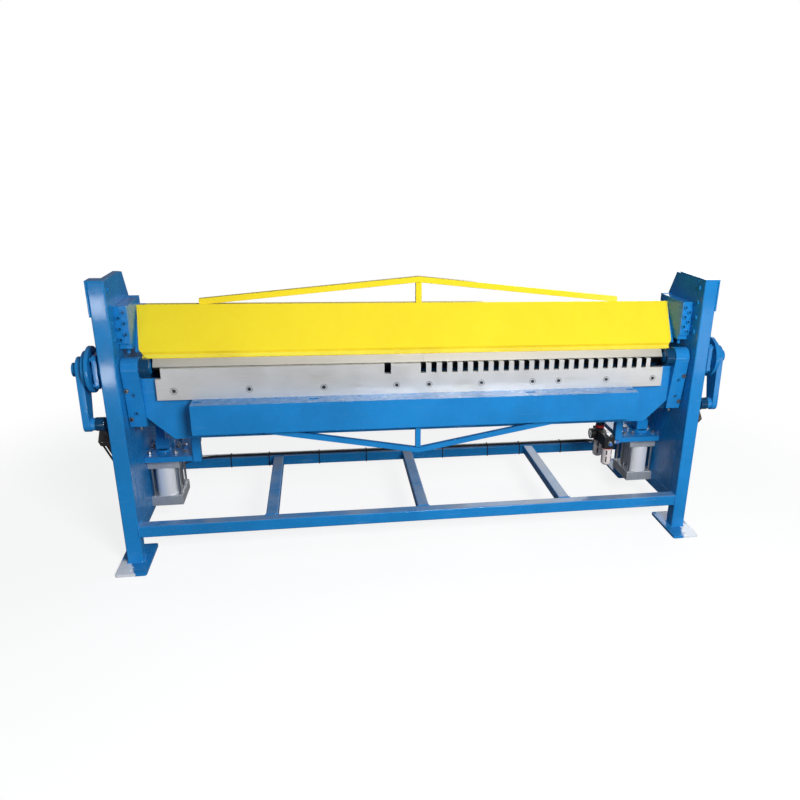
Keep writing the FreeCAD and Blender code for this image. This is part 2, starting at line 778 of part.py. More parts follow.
def make_arms():
    outline = [(axis_y - arm_head_radius, bed_height), (axis_y - arm_foot_front, arm_bottom),
               (axis_y + arm_foot_back, arm_bottom), (axis_y + arm_head_radius, bed_height)]
    head = bar(arm_head_radius, arm_in, axis_y, bed_height, arm_width, ALONG_X)
    hub = bar(arm_hub_radius, arm_in - arm_hub_length, axis_y, bed_height, arm_hub_length, ALONG_X)
    back = axis_y + apron_plate_thickness
    flange = box(arm_in - arm_flange_width, arm_in, back, back + arm_flange_thickness,
                 arm_bottom - arm_flange_end, apron_plate_top - arm_flange_end)
    bore = bar(shaft_radius, arm_in - arm_hub_length, axis_y, bed_height,
               arm_hub_length + arm_width, ALONG_X)
    hub = hub.cut(bore)
    arm = side_profile(outline, arm_in, arm_out).fuse(head).removeSplitter().cut(bore)
    bolts = []
    middle = (arm_in + arm_out) / 2
    sunk_screws = [(drop, middle, screw_sink) for drop in arm_screw_drops]
    proud_screws = [(drop, arm_out - screw_head_radius, stud_sink) for drop in arm_stud_drops]
    for drop, x, sink in sunk_screws + proud_screws:
        z = bed_height - drop
        seat = arm_front_y(z) + sink + screw_room
        room = bar(screw_head_radius + screw_room, x, seat - arm_width, z, arm_width, ALONG_Y)
        hole = bar(screw_shank_radius + screw_hole_play, x, seat, z, screw_bite, ALONG_Y)
        arm = arm.cut([room, hole])
        head_part = bar(screw_head_radius, x, seat - screw_head_height, z, screw_head_height, ALONG_Y)
        shank = bar(screw_shank_radius, x, seat, z, screw_bite, ALONG_Y)
        bolts.append(head_part.fuse(shank))
    stop = bar(stop_stud_radius, middle, axis_y + arm_foot_back / 2, arm_bottom - stop_stud_length,
               stop_stud_length, ALONG_Z)
    bolts.append(stop)
    keep_sides("fold_arm", arm, hub, flange)
    keep_pair("arm_bolts", *bolts)


def make_bearings():
    """Boss behind the post with a square flange bearing on its outer face."""
    boss = bar(boss_radius, plate_out, axis_y, bed_height, bearing_back - plate_out, ALONG_X)
    boss = boss.cut(box(half_bay, post_out, axis_y - 2 * boss_radius, post_size,
                        bed_height - 2 * boss_radius, bed_height + 2 * boss_radius))
    reach = bearing_flange / 2
    flange = box(bearing_back, bearing_face, axis_y - reach, axis_y + reach,
                 bed_height - reach, bed_height + reach)
    corners = [e for e in flange.Edges if abs(e.tangentAt(0).x) > 0.9]
    flange = flange.makeChamfer(bearing_flange_corner, corners)
    nose = bar(bearing_nose_radius, bearing_face, axis_y, bed_height, bearing_nose_length, ALONG_X)
    bearing = boss.fuse([flange, nose]).removeSplitter()
    bearing = bearing.cut(bar(shaft_radius + bearing_clearance, plate_out, axis_y, bed_height,
                              disc_back - plate_out, ALONG_X))
    bolts = []
    for side_y in (-1, 1):
        start = post_out if side_y < 0 else plate_out
        for side_z in (-1, 1):
            y = axis_y + side_y * bearing_bolt_offset
            z = bed_height + side_z * bearing_bolt_offset
            bearing = bearing.cut(bar(screw_shank_radius + screw_hole_play, bearing_back, y, z,
                                      bearing_flange_thickness, ALONG_X))
            shank = bar(screw_shank_radius, start, y, z, bearing_face - start, ALONG_X)
            head = bar(screw_head_radius, bearing_face, y, z, screw_head_height, ALONG_X)
            bolts.append(shank.fuse(head))
    keep_sides("pivot_bearing", bearing)
    keep_pair("bearing_bolts", *bolts)


def make_pivots():
    """Pivot shaft with the stepped disc turned on its outer end."""
    start = arm_in - arm_hub_length
    shaft = bar(shaft_radius, start, axis_y, bed_height, disc_back - start, ALONG_X)
    rim = bar(disc_radius, disc_back, axis_y, bed_height, disc_rim, ALONG_X)
    step = bar(disc_step_radius, disc_back + disc_rim, axis_y, bed_height, disc_step, ALONG_X)
    keep_pair("pivot_shafts", shaft.fuse([rim, step]))
    plate = link((axis_y, bed_height), crank_head_radius, crank_pin, crank_foot_radius, crank_in, crank_out)
    pin_end = fold_x + fold_eye_thickness / 2 + crank_pin_gap
    boss = bar(crank_boss_radius, pin_end, crank_pin[0], crank_pin[1], crank_in - pin_end, ALONG_X)
    cap = bar(hub_cap_radius, crank_out, axis_y, bed_height, hub_cap_length, ALONG_X)
    keep_pair("crank_arms", plate.fuse([boss, cap]).removeSplitter())


# Folding cylinders

def make_fold_cylinders():
    """Leaning cylinder in its closed state, built upright and then tilted onto its two pins."""
    run = rear_pin[0] - crank_pin[0]
    rise = crank_pin[1] - rear_pin[1]
    pin_distance = math.hypot(run, rise)
    lean = math.degrees(math.atan2(run, rise))
    half_eye = fold_eye_thickness / 2
    cap_low = fold_eye_radius + fold_eye_neck
    barrel_low = cap_low + fold_cap_length
    head_high = pin_distance - fold_rod_showing
    head_low = head_high - fold_cap_length
    half_cap = fold_cap / 2

    def cap_block(low, high):
        block = box(-half_cap, half_cap, -half_cap, half_cap, low, high)
        upright = [e for e in block.Edges if abs(e.tangentAt(0).z) > 0.9]
        return block.makeFillet(tube_corner, upright)

    eye = bar(fold_eye_radius, -half_eye, 0, 0, fold_eye_thickness, ALONG_X)
    neck = box(-half_eye, half_eye, -fold_eye_radius, fold_eye_radius, 0, cap_low)
    foot = cap_block(cap_low, barrel_low).fuse([eye, neck]).removeSplitter()
    foot = foot.cut(bar(fold_pin_radius + bearing_clearance, -half_eye, 0, 0, fold_eye_thickness, ALONG_X))
    head = cap_block(head_low, head_high)
    head = head.cut(bar(fold_rod_radius + moving_clearance, 0, 0, head_low, fold_cap_length, ALONG_Z))
    length = head_low - barrel_low
    bore_radius = fold_bore / 2
    barrel = bar(bore_radius + fold_barrel_wall, 0, 0, barrel_low, length, ALONG_Z)
    barrel = barrel.cut(bar(bore_radius, 0, 0, barrel_low, length, ALONG_Z))
    ties = [bar(fold_tie_radius, x, y, barrel_low, length, ALONG_Z)
            for x in (-fold_tie_offset, fold_tie_offset) for y in (-fold_tie_offset, fold_tie_offset)]

    piston_low = barrel_low + fold_piston_rest
    stem_high = pin_distance - rod_eye_radius - rod_eye_neck
    stem = bar(fold_rod_radius, 0, 0, piston_low, stem_high - piston_low, ALONG_Z)
    piston = bar(bore_radius - moving_clearance, 0, 0, piston_low, fold_piston_length, ALONG_Z).cut(stem)
    rod_eye = bar(rod_eye_radius, -half_eye, 0, pin_distance, fold_eye_thickness, ALONG_X)
    rod_neck = bar(rod_eye_neck_radius, 0, 0, stem_high, pin_distance - stem_high, ALONG_Z)
    rod_pin = bar(fold_pin_radius, -half_eye, 0, pin_distance, fold_eye_thickness, ALONG_X)
    rod_eye = rod_eye.fuse(rod_neck).removeSplitter().cut(rod_pin)

    def placed(shape):
        turned = shape.copy()
        turned.rotate(V(0, 0, 0), ALONG_X, lean)
        turned.translate(V(fold_x, rear_pin[0], rear_pin[1]))
        return turned

    barrels = [placed(shape) for shape in [foot, head, barrel] + ties]
    rods = [placed(shape) for shape in (stem, piston, rod_eye, rod_pin)]
    keep("left_fold_cylinder", *[mirrored(shape) for shape in barrels])
    keep("right_fold_cylinder", *barrels)
    keep("left_fold_rod", *[mirrored(shape) for shape in rods])
    keep("right_fold_rod", *rods)


def make_brackets():
    """Fork bolted outside the side rail, with the rear pin of the folding cylinder."""
    half_eye = fold_eye_thickness / 2
    y, z = rear_pin
    base_low = side_rail_top - bracket_base
    fork = box(post_out, fold_x + half_eye + bracket_gap + bracket_ear, y - bracket_length / 2,
               y + bracket_length / 2, base_low, side_rail_top)
    for x0 in (fold_x - half_eye - bracket_gap - bracket_ear, fold_x + half_eye + bracket_gap):
        ear = bar(fold_eye_radius, x0, y, z, bracket_ear, ALONG_X)
        leg = box(x0, x0 + bracket_ear, y - fold_eye_radius, y + fold_eye_radius, side_rail_top, z)
        fork = fork.fuse([ear, leg])
    first = fold_x - half_eye - bracket_gap - bracket_ear
    width = fold_eye_thickness + 2 * (bracket_gap + bracket_ear)
    fork = fork.removeSplitter().cut(bar(fold_pin_radius, first, y, z, width, ALONG_X))
    keep_pair("cylinder_brackets", fork)
    keep_pair("cylinder_pins", bar(fold_pin_radius, first, y, z, width, ALONG_X))


# Air unit

def make_air_unit():
    low = unit_level
    high = unit_level + unit_height
    x0 = unit_x - unit_width / 2
    x1 = unit_x + unit_width / 2
    body = box(x0, x1, unit_front, unit_front + unit_length, low, high)
    long_edges = [e for e in body.Edges if abs(e.tangentAt(0).y) > 0.9]
    body = body.makeFillet(tube_corner, long_edges)
    front_y = unit_front + (unit_length - bowl_pitch) / 2
    back_y = front_y + bowl_pitch
    neck = bar(knob_neck_radius, unit_x, back_y, high, knob_neck_height, ALONG_Z)
    dome = bar(dome_radius, unit_x, front_y, high, dome_radius, ALONG_Z)
    inlet = bar(inlet_radius, unit_x, unit_front, (low + high) / 2, inlet_depth, ALONG_Y)
    bracket = box(x1 - tube_corner, plate_in - hanger_width, unit_front + hanger_depth / 2,
                  hanger_front + hanger_depth, high - unit_bracket_height, high - tube_corner)
    keep("air_unit_body", body.fuse([neck, dome, bracket]).removeSplitter().cut(inlet))
    bowls = []
    for y in (front_y, back_y):
        foot = low - bowl_height
        bowl = bar(bowl_radius, unit_x, y, foot + bowl_taper, bowl_height - bowl_taper, ALONG_Z)
        bowls.append(bowl.fuse(Part.makeCone(bowl_radius - bowl_taper, bowl_radius, bowl_taper,
                                             V(unit_x, y, foot))))
    keep("air_unit_bowls", *bowls)
    knob = bar(knob_radius, unit_x, back_y, high + knob_neck_height + moving_clearance, knob_height, ALONG_Z)
    grooves = []
    groove_low = high + knob_neck_height + knob_height / 3
    for step in range(knob_grooves):
        angle = 2 * math.pi * step / knob_grooves
        x = unit_x + knob_radius * math.cos(angle)
        y = back_y + knob_radius * math.sin(angle)
        grooves.append(bar(knob_groove_radius, x, y, groove_low, knob_height, ALONG_Z))
    keep("regulator_knob", knob.cut(grooves))
    gauge_z = (low + high) / 2
    gauge_face = x0 - gauge_depth
    case = bar(gauge_radius, gauge_face, back_y, gauge_z, gauge_depth, ALONG_X)
    case = case.cut(bar(gauge_radius - gauge_rim, gauge_face, back_y, gauge_z, gauge_recess, ALONG_X))
    dial = gauge_face + gauge_recess
    case = case.fuse(bar(needle_pin_radius, dial - needle_pin_length, back_y, gauge_z,
                         needle_pin_length, ALONG_X))
    keep("gauge_case", case)
    needle_x = dial - needle_stand_off - needle_thickness
    rest = math.radians(needle_rest_angle)
    tip = (back_y - needle_length * math.sin(rest), gauge_z - needle_length * math.cos(rest))
    needle = link((back_y, gauge_z), 2 * needle_width, tip, needle_width / 3,
                  needle_x, needle_x + needle_thickness)
    needle = needle.cut(bar(needle_pin_radius + bearing_clearance, needle_x, back_y, gauge_z,
                            needle_thickness, ALONG_X))
    keep("gauge_needle", needle)


# Hose

def hose_route(side, end_aside, end_z):
    """Points from the air unit, down to the rear rail, along it and into the left cylinder."""
    offset = side * hose_pitch / 2
    x = unit_x + offset
    rail_y = frame_depth - rail_size / 2 + offset
    on_rail = rail_top + hose_radius + hose_play
    back = unit_front + unit_length
    last_cylinder = clamp_cylinder_spots()[-1] + clamp_cap_depth / 2
    out_z = unit_level + hose_port_rise
    left = -clamp_cylinder_x
    return [V(x, back, out_z), V(x, back + hose_straight, out_z),
            V(x + hose_drop[0], back + hose_drop[1], out_z - hose_drop[2]),
            V(x + hose_fall[0], back + hose_fall[1], on_rail + hose_fall_height),
            V(x + hose_turn_aside, rail_y, on_rail), V(left + hose_turn, rail_y, on_rail),
            V(left - end_aside, rail_y - hose_turn_back, on_rail + end_aside),
            V(left - end_aside, last_cylinder + hose_end_run, end_z),
            V(left - end_aside, last_cylinder, end_z)]


def round_path(points):
    """Straight runs joined by tangent arcs, each as large as its two runs allow."""
    edges = []
    start = points[0]
    for before, corner, after in zip(points, points[1:], points[2:]):
        arriving = (corner - before).normalize()
        leaving = (after - corner).normalize()
        turn = arriving.getAngle(leaving)
        trim = 0.45 * min((corner - before).Length, (after - corner).Length)
        first = corner - arriving * trim
        last = corner + leaving * trim
        radius = trim / math.tan(turn / 2)
        inward = (leaving - arriving).normalize()
        middle = corner + inward * (radius / math.cos(turn / 2) - radius)
        edges.append(Part.LineSegment(start, first).toShape())
        edges.append(Part.Arc(first, middle, last).toShape())
        start = last
    edges.append(Part.LineSegment(start, points[-1]).toShape())
    return Part.Wire(edges)


def make_hose():
    half_cap = clamp_cap_height / 2
    routes = {"air_hose": hose_route(-1, 0, clamp_cylinder_bottom + half_cap),
              "return_hose": hose_route(1, hose_end_aside, clamp_plate_level - half_cap)}
    for name, route in routes.items():
        ring = Part.Wire(Part.makeCircle(hose_radius, route[0], route[1] - route[0]))
        keep(name, round_path(route).makePipeShell([ring], True, False))
    y0 = frame_depth - rail_size
    low = rail_top - rail_size
    peak = rail_top + 2 * (hose_radius + hose_play)
    middle = frame_depth - rail_size / 2
    crown = hose_pitch / 2 + hose_radius + tie_crown
    loop = [(y0, low), (frame_depth, low), (frame_depth, rail_top), (middle + crown, peak),
            (middle - crown, peak), (y0, rail_top)]
    ties = []
    for x in tie_places:
        ring_face = Part.Face(Part.makePolygon([V(x, y, z) for y, z in loop + loop[:1]]))
        outer = ring_face.makeOffset2D(tie_thickness)
        ties.append(outer.cut(ring_face).extrude(V(tie_width, 0, 0)))
    keep("hose_ties", *ties)


def build():
    make_post()
    make_top_cover()
    make_side_frame()
    make_feet()
    make_rails()
    make_bed()
    make_clamp_beam()
    make_clamp_panel()
    make_clamp_truss()
    make_upper_jaws()
    make_slides()
    make_guides()
    make_pull_bars()
    make_clamp_cylinders()
    make_apron()
    make_apron_truss()
    make_arms()
    make_bearings()
    make_pivots()
    make_fold_cylinders()
    make_brackets()
    make_air_unit()
    make_hose()


def write():
    """Move every piece to the middle of the footprint and write it."""
    os.makedirs("parts", exist_ok=True)
    for name, shape in pieces.items():
        moved = shape.copy()
        moved.translate(V(0, -origin_y, 0))
        moved.exportStep("parts/" + name + ".step")


build()
write()
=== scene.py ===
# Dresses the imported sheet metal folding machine: rounded and finished surfaces,
# screws, welds, gauge, hoses and the stage that it stands on.
import json
import math
from functools import partial

import bmesh
import bpy
from bpy.props import FloatProperty, FloatVectorProperty, IntProperty, PointerProperty
from mathutils import Matrix, Vector

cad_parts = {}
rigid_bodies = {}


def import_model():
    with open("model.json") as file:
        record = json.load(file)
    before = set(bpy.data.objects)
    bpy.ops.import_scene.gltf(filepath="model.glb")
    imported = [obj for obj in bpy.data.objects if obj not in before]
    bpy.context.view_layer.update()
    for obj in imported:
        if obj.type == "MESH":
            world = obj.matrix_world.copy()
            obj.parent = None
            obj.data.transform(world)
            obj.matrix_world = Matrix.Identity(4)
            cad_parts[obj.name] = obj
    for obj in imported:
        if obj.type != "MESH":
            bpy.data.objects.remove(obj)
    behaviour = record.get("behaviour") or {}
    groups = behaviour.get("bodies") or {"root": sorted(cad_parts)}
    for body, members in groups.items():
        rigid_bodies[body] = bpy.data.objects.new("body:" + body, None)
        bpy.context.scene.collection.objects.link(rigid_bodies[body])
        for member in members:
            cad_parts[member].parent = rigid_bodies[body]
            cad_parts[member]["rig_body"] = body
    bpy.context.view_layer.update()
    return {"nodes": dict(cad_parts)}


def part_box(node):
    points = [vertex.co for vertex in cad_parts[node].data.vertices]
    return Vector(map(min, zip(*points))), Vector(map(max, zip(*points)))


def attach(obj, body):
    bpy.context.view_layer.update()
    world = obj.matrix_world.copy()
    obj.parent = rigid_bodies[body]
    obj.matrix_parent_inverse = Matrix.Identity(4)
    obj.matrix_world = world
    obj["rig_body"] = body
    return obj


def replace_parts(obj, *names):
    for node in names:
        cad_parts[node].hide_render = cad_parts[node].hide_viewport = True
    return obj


bl_info = {
    "name": "Folding machine finish",
    "version": (1, 0, 0),
    "blender": (4, 5, 0),
    "location": "View3D > Sidebar > Folding machine",
    "description": "Finishes the pieces of a sheet metal folding machine and builds its stage",
    "category": "Object",
}

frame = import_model()

WHOLE_TURN = 2 * math.pi
MERGE_WITHIN = 1e-5
SAME_PLANE = math.radians(0.5)
SMOOTH_UP_TO = math.radians(40)
TO_FRAME = Vector((0, -0.375, 0))
UP = Vector((0, 0, 1))
SIDES = (-1, 1)
BLADES = ("left_blade", "middle_blade", "right_blade")
FACING = 0.7  # least part of a normal along the axis that its face looks along

# Edge radii that differ from the setting, in metres
ROD_EDGE = 0.0006
JAW_EDGE = 0.0008
POST_EDGE = 0.0032
KNOB_EDGE = 0.0004
TIE_EDGE = 0.0003
NEEDLE_EDGE = 0.0001

# Places of the frame's pieces, in millimetres from the fronts of the posts
POST_INSIDE = 1174
POST_OUTSIDE = 1234
PLATE_TOP = 380
ROD_LINES = (317, 409)
UNIT_MIDDLE = 908
BOWLS = (230, 345)


# Settings that a user would change

COLOUR = {"size": 3, "min": 0, "max": 1, "subtype": "COLOR"}
SHARE = {"min": 0, "max": 1, "subtype": "FACTOR"}
LENGTH = {"min": 0, "subtype": "DISTANCE"}
POWER = {"min": 0, "unit": "POWER"}


class PaintSettings(bpy.types.PropertyGroup):
    """Colours and condition of the painted pieces."""
    blue: FloatVectorProperty(
        name="Blue", description="Enamel of the frame and the apron",
        default=(0.013, 0.225, 0.58), **COLOUR)
    yellow: FloatVectorProperty(
        name="Yellow", description="Enamel of the clamp beam", default=(1.0, 0.78, 0.030),
        **COLOUR)
    gloss: FloatProperty(
        name="Roughness", description="Roughness of the enamel", default=0.24, **SHARE)
    # On the blue enamel the worn edges show a painted highlight, not metal
    wear: FloatProperty(
        name="Edge wear", description="Share of the rounded edges that shows metal",
        default=0.35, **SHARE)
    dust: FloatProperty(
        name="Dust", description="Dust on faces that look up", default=0.07, **SHARE)
    # Mostly a painted sheen on the rails' tops, the reflection of light on their gloss, besides
    # real dust
    rail_dust_and_sheen: FloatProperty(
        name="Rail dust and sheen", description="Dust and rubbed paint on the tops of the rails",
        default=0.75, **SHARE)


class MetalSettings(bpy.types.PropertyGroup):
    """Colours of the bare metal pieces."""
    jaw: FloatVectorProperty(
        name="Jaw steel", description="Ground steel of the jaws and blades",
        default=(0.74, 0.74, 0.735), **COLOUR)
    zinc: FloatVectorProperty(
        name="Zinc", description="Plated screws and pins", default=(0.50, 0.51, 0.53), **COLOUR)
    alloy: FloatVectorProperty(
        name="Cylinder alloy", description="Caps and barrels of the air cylinders",
        default=(0.90, 0.92, 0.96), **COLOUR)
    chrome: FloatVectorProperty(
        name="Chromed rod", description="Rods of the air cylinders",
        default=(0.66, 0.66, 0.68), **COLOUR)


class EdgeSettings(bpy.types.PropertyGroup):
    """Rounding of the edges."""
    width: FloatProperty(
        name="Edge radius", description="Rounding of a machined or sawn edge", default=0.0012,
        **LENGTH)
    segments: IntProperty(
        name="Segments", description="Faces across a rounded edge", default=2, min=1, max=6)
    sharp: FloatProperty(
        name="Sharp from", description="Edges that turn by more than this are rounded",
        default=math.radians(35), subtype="ANGLE")


class ScrewSettings(bpy.types.PropertyGroup):
    """Sizes of the cap screws and nuts."""
    head: FloatProperty(
        name="Head length", description="Length of a cap screw's head", default=0.02, **LENGTH)
    chamfer: FloatProperty(
        name="Chamfer", description="Chamfer of a cap screw's rim", default=0.0012, **LENGTH)
    socket: FloatProperty(
        name="Socket", description="Corner radius of the hexagon socket", default=0.0054,
        **LENGTH)
    socket_depth: FloatProperty(
        name="Socket depth", description="Depth of the hexagon socket", default=0.006, **LENGTH)
    nut: FloatProperty(
        name="Nut", description="Corner radius of a tie rod's nut", default=0.0085, **LENGTH)
    nut_height: FloatProperty(
        name="Nut height", description="Height of a tie rod's nut", default=0.008, **LENGTH)


class WeldSettings(bpy.types.PropertyGroup):
    """Weld beads along the joints of the frame."""
    radius: FloatProperty(
        name="Bead radius", description="Half the width of a weld bead", default=0.0036,
        **LENGTH)
    pitch: FloatProperty(
        name="Ripple", description="Distance between two ripples of a bead", default=0.0034,
        **LENGTH)


class StageSettings(bpy.types.PropertyGroup):
    """Camera and light."""
    lens: FloatProperty(name="Lens", description="Focal length", default=33.39, min=1)
    key: FloatProperty(
        name="Key lamp", description="Power of the soft box in front", default=150, **POWER)
    back: FloatProperty(
        name="Back lamp", description="Power of the wide lamp behind", default=48, **POWER)
    sky: FloatProperty(
        name="Sky", description="Strength of the soft light all round", default=0.16, min=0)
    shadow: FloatProperty(
        name="Floor shadow", description="How much of the floor's white comes from the lamps",
        default=0.24, **SHARE)


PREFIX = "folder_"
SETTINGS = {
    "paint": PaintSettings, "metal": MetalSettings, "edges": EdgeSettings,
    "screws": ScrewSettings, "welds": WeldSettings, "stage": StageSettings,
}


def settings(name):
    return getattr(bpy.context.scene, PREFIX + name)


# Nodes of shader and geometry trees

def is_socket(value):
    return isinstance(value, bpy.types.NodeSocket)


def tree_behind(*values):
    """The node tree of the first socket among some values."""
    return next(value.id_data for value in values if is_socket(value))


def feed(socket, value):
    """Links an input to another socket, or gives it a value."""
    if is_socket(value):
        socket.id_data.links.new(value, socket)
    elif socket.type == "RGBA" and len(value) == 3:
        socket.default_value = (*value, 1.0)
    else:
        socket.default_value = value


def put(tree, kind, given=(), **options):
    """A node with its options set and its inputs, named or numbered, fed."""
    node = tree.nodes.new(kind)
    for option, value in options.items():
        setattr(node, option, value)
    for label, value in dict(given).items():
        feed(node.inputs[label], value)
    return node


def arithmetic(operation, *values):
    """A Math node over sockets and numbers."""
    return put(tree_behind(*values), "ShaderNodeMath", enumerate(values),
               operation=operation).outputs[0]


plus = partial(arithmetic, "ADD")
minus = partial(arithmetic, "SUBTRACT")
times = partial(arithmetic, "MULTIPLY")
divided = partial(arithmetic, "DIVIDE")
larger = partial(arithmetic, "MAXIMUM")
less = partial(arithmetic, "LESS_THAN")
distance = partial(arithmetic, "ABSOLUTE")


def vector_math(operation, *values):
    return put(tree_behind(*values), "ShaderNodeVectorMath", enumerate(values),
               operation=operation).outputs


def split(vector):
    """The X, Y and Z of a vector."""
    return put(vector.id_data, "ShaderNodeSeparateXYZ", {0: vector}).outputs


def span(value, low, high, bottom=0.0, top=1.0):
    """A value between low and high spread over bottom to top, and held at its ends."""
    return put(value.id_data, "ShaderNodeMapRange",
               {"Value": value, "From Min": low, "From Max": high, "To Min": bottom,
                "To Max": top}, interpolation_type="SMOOTHSTEP").outputs["Result"]


def mixed(share, first, second):
    """A colour mix; first and second are sockets or colours."""
    node = put(tree_behind(share, first), "ShaderNodeMix", data_type="RGBA")
    sockets = {socket.identifier: socket for socket in (*node.inputs, *node.outputs)}
    for name, value in (("Factor_Float", share), ("A_Color", first), ("B_Color", second)):
        feed(sockets[name], value)
    return sockets["Result_Color"]


def noise(place, scale, detail=3.0, roughness=0.5):
    return put(place.id_data, "ShaderNodeTexNoise",
               {"Vector": place, "Scale": scale, "Detail": detail,
                "Roughness": roughness}).outputs["Fac"]


def object_place(tree, stretch=(1.0, 1.0, 1.0), turn=(0.0, 0.0, 0.0)):
    """Object coordinates, stretched along each axis and turned."""
    place = put(tree, "ShaderNodeTexCoord").outputs["Object"]
    return put(tree, "ShaderNodeMapping",
               {"Vector": place, "Scale": stretch, "Rotation": turn}).outputs["Vector"]


SOCKET_KINDS = {int: "NodeSocketInt", float: "NodeSocketFloat", tuple: "NodeSocketVector"}
GEOMETRY = {"Geometry": "NodeSocketGeometry"}


def new_tree(name, kind, inputs, outputs):
    """A node group with its input and output sockets.

    Each socket comes from its label and its default, or from the name of its kind.
    """
    tree = bpy.data.node_groups.new(name, kind)
    for way, rows in (("INPUT", inputs), ("OUTPUT", outputs)):
        for label, value in rows.items():
            named = isinstance(value, str)
            socket = tree.interface.new_socket(
                label, in_out=way, socket_type=value if named else SOCKET_KINDS[type(value)])
            if not named:
                socket.default_value = value
    return tree, put(tree, "NodeGroupInput").outputs, put(tree, "NodeGroupOutput").inputs


# Effects that several materials use

effects = {}


def effect(name, inputs, *outputs):
    """Keeps a function that fills the node group of an effect."""
    def keep(fill):
        effects[name] = (fill, inputs, outputs)
        return fill
    return keep


def place_effect(tree, name, **values):
    """The outputs of an effect, whose node group is made when it is first asked for."""
    if name not in bpy.data.node_groups:
        fill, inputs, outputs = effects[name]
        group, given, result = new_tree(name, "ShaderNodeTree", inputs,
                                        dict.fromkeys(outputs, "NodeSocketFloat"))
        for label, value in zip(outputs, fill(group, given)):
            feed(result[label], value)
    return put(tree, "ShaderNodeGroup", values, node_tree=bpy.data.node_groups[name]).outputs


@effect("Edge wear", {"Amount": 0.3, "Scale": 60.0}, "Mask")
def edge_wear(group, given):
    """Mask of the places where the rounded edges have lost their paint; the blue enamel lays a
    painted highlight there instead.
    """
    edge = put(group, "ShaderNodeAttribute", attribute_name="edge").outputs["Fac"]
    patches = noise(object_place(group), given["Scale"], 6.0, 0.7)
    level = plus(times(minus(1.0, given["Amount"]), 0.55), 0.3)
    return [times(span(minus(patches, level), 0.0, 0.05), edge)]


@effect("Dust", {"Amount": 0.2, "Scale": 9.0}, "Mask")
def dust_and_sheen_on_tops(group, given):
    """Mask of dust that lies on faces that look up, thicker in cloudy patches; with the rails'
    large amount it is mostly a painted sheen on their tops.
    """
    normal = put(group, "ShaderNodeNewGeometry").outputs["Normal"]
    upward = span(split(normal)["Z"], 0.55, 0.98)
    cloudy = span(noise(object_place(group), given["Scale"], 7.0, 0.62), 0.3, 0.75)
    return [times(times(upward, cloudy), given["Amount"])]


@effect("Ground grain", {"Stretch": (4.0, 900.0, 900.0), "Mottling": 6.0}, "Lines", "Clouds")
def ground_grain(group, given):
    """Fine lines left by grinding, drawn out along one axis, with broad cloudy mottling."""
    return [noise(object_place(group, given["Stretch"]), 1.0, 5.0, 0.75),
            noise(object_place(group), given["Mottling"], 6.0, 0.6)]


@effect("Spray ripple", {"Scale": 210.0}, "Height")
def spray_ripple(group, given):
    """Faint waviness of a sprayed surface."""
    place = object_place(group)
    return [plus(noise(place, given["Scale"], 1.5), times(noise(place, 14.0, 2.0), 4.0))]


@effect("Scuffs", {"Scratches": 0.3, "Chips": 0.3}, "Lines", "Spots")
def scuffs(group, given):
    """Mask of thin scratches in patches, and of small chips."""
    lines = [span(noise(object_place(group, stretch, (turn, turn * 0.6, turn)), 1.0, 2.0),
                  0.66, 0.74)
             for turn, stretch in ((0.5, (5.0, 420.0, 420.0)), (-0.9, (360.0, 7.0, 360.0)))]
    place = object_place(group)
    patches = span(noise(place, 5.0, 4.0), 0.42, 0.62)
    fine = span(noise(place, 130.0, 3.0, 0.6), 0.69, 0.72)
    rare = span(noise(place, 9.0, 2.0), 0.55, 0.7)
    return [times(times(larger(*lines), patches), given["Scratches"]),
            times(times(fine, rare), given["Chips"])]


@effect("Socket grime", {"Amount": 0.9}, "Mask")
def painted_socket_shade(group, given):
    """Mask of the painted shade inside a screw's socket."""
    inside = put(group, "ShaderNodeAttribute", attribute_name="socket").outputs["Fac"]
    cloudy = span(noise(object_place(group), 300.0), 0.2, 0.8, 0.8, 1.0)
    return [times(times(inside, cloudy), given["Amount"])]


# Materials

# Grey of the dust on the tops, and on the rails of a painted sheen
DUST_AND_SHEEN_GREY = (0.40, 0.42, 0.44)
PLASTIC_DUST = (0.4, 0.4, 0.39)
# Colours laid inside screw sockets as painted shade
ENAMEL_SOCKET_SHADE = (0.004, 0.006, 0.009)
METAL_SOCKET_SHADE = (0.01, 0.01, 0.012)
# Pale blue on the blue enamel's rounded edges and chips: a painted highlight, the glint of light
# along the edges
BLUE_EDGE_GLINT_AND_CHIPS = (0.26, 0.46, 0.68)
BARE_STEEL = (0.30, 0.33, 0.36)
YELLOW_PRIMER = (0.60, 0.50, 0.10)
# White of the painted glare on the front foot plates
FOOT_GLARE_WHITE = (0.86, 0.89, 0.93)
OIL_STAIN = (0.56, 0.53, 0.44)


def new_material(name, **values):
    """A material, its tree and its shader; values go to the shader's own sockets."""
    material = bpy.data.materials.new(name)
    material.use_nodes = True
    shader = material.node_tree.nodes["Principled BSDF"]
    for label, value in values.items():
        feed(shader.inputs[label.replace("_", " ")], value)
    return material, material.node_tree, shader


def bump(shader, height, strength, distance):
    node = put(shader.id_data, "ShaderNodeBump",
               {"Strength": strength, "Distance": distance, "Height": height})
    feed(shader.inputs["Normal"], node.outputs["Normal"])


def toned(colour, factor, lift=0.0):
    """A colour made darker or lighter."""
    return tuple(min(1.0, part * factor + lift) for part in colour)


def covered(base, layers):
    """A colour with others laid over it, each where its mask is."""
    for mask, colour in layers:
        base = mixed(mask, base, colour)
    return base


def cover(material, mask, colour):
    """Lays a colour over a finished material where a mask is."""
    base = material.node_tree.nodes["Principled BSDF"].inputs["Base Color"]
    feed(base, mixed(mask, base.links[0].from_socket, colour))
    return material


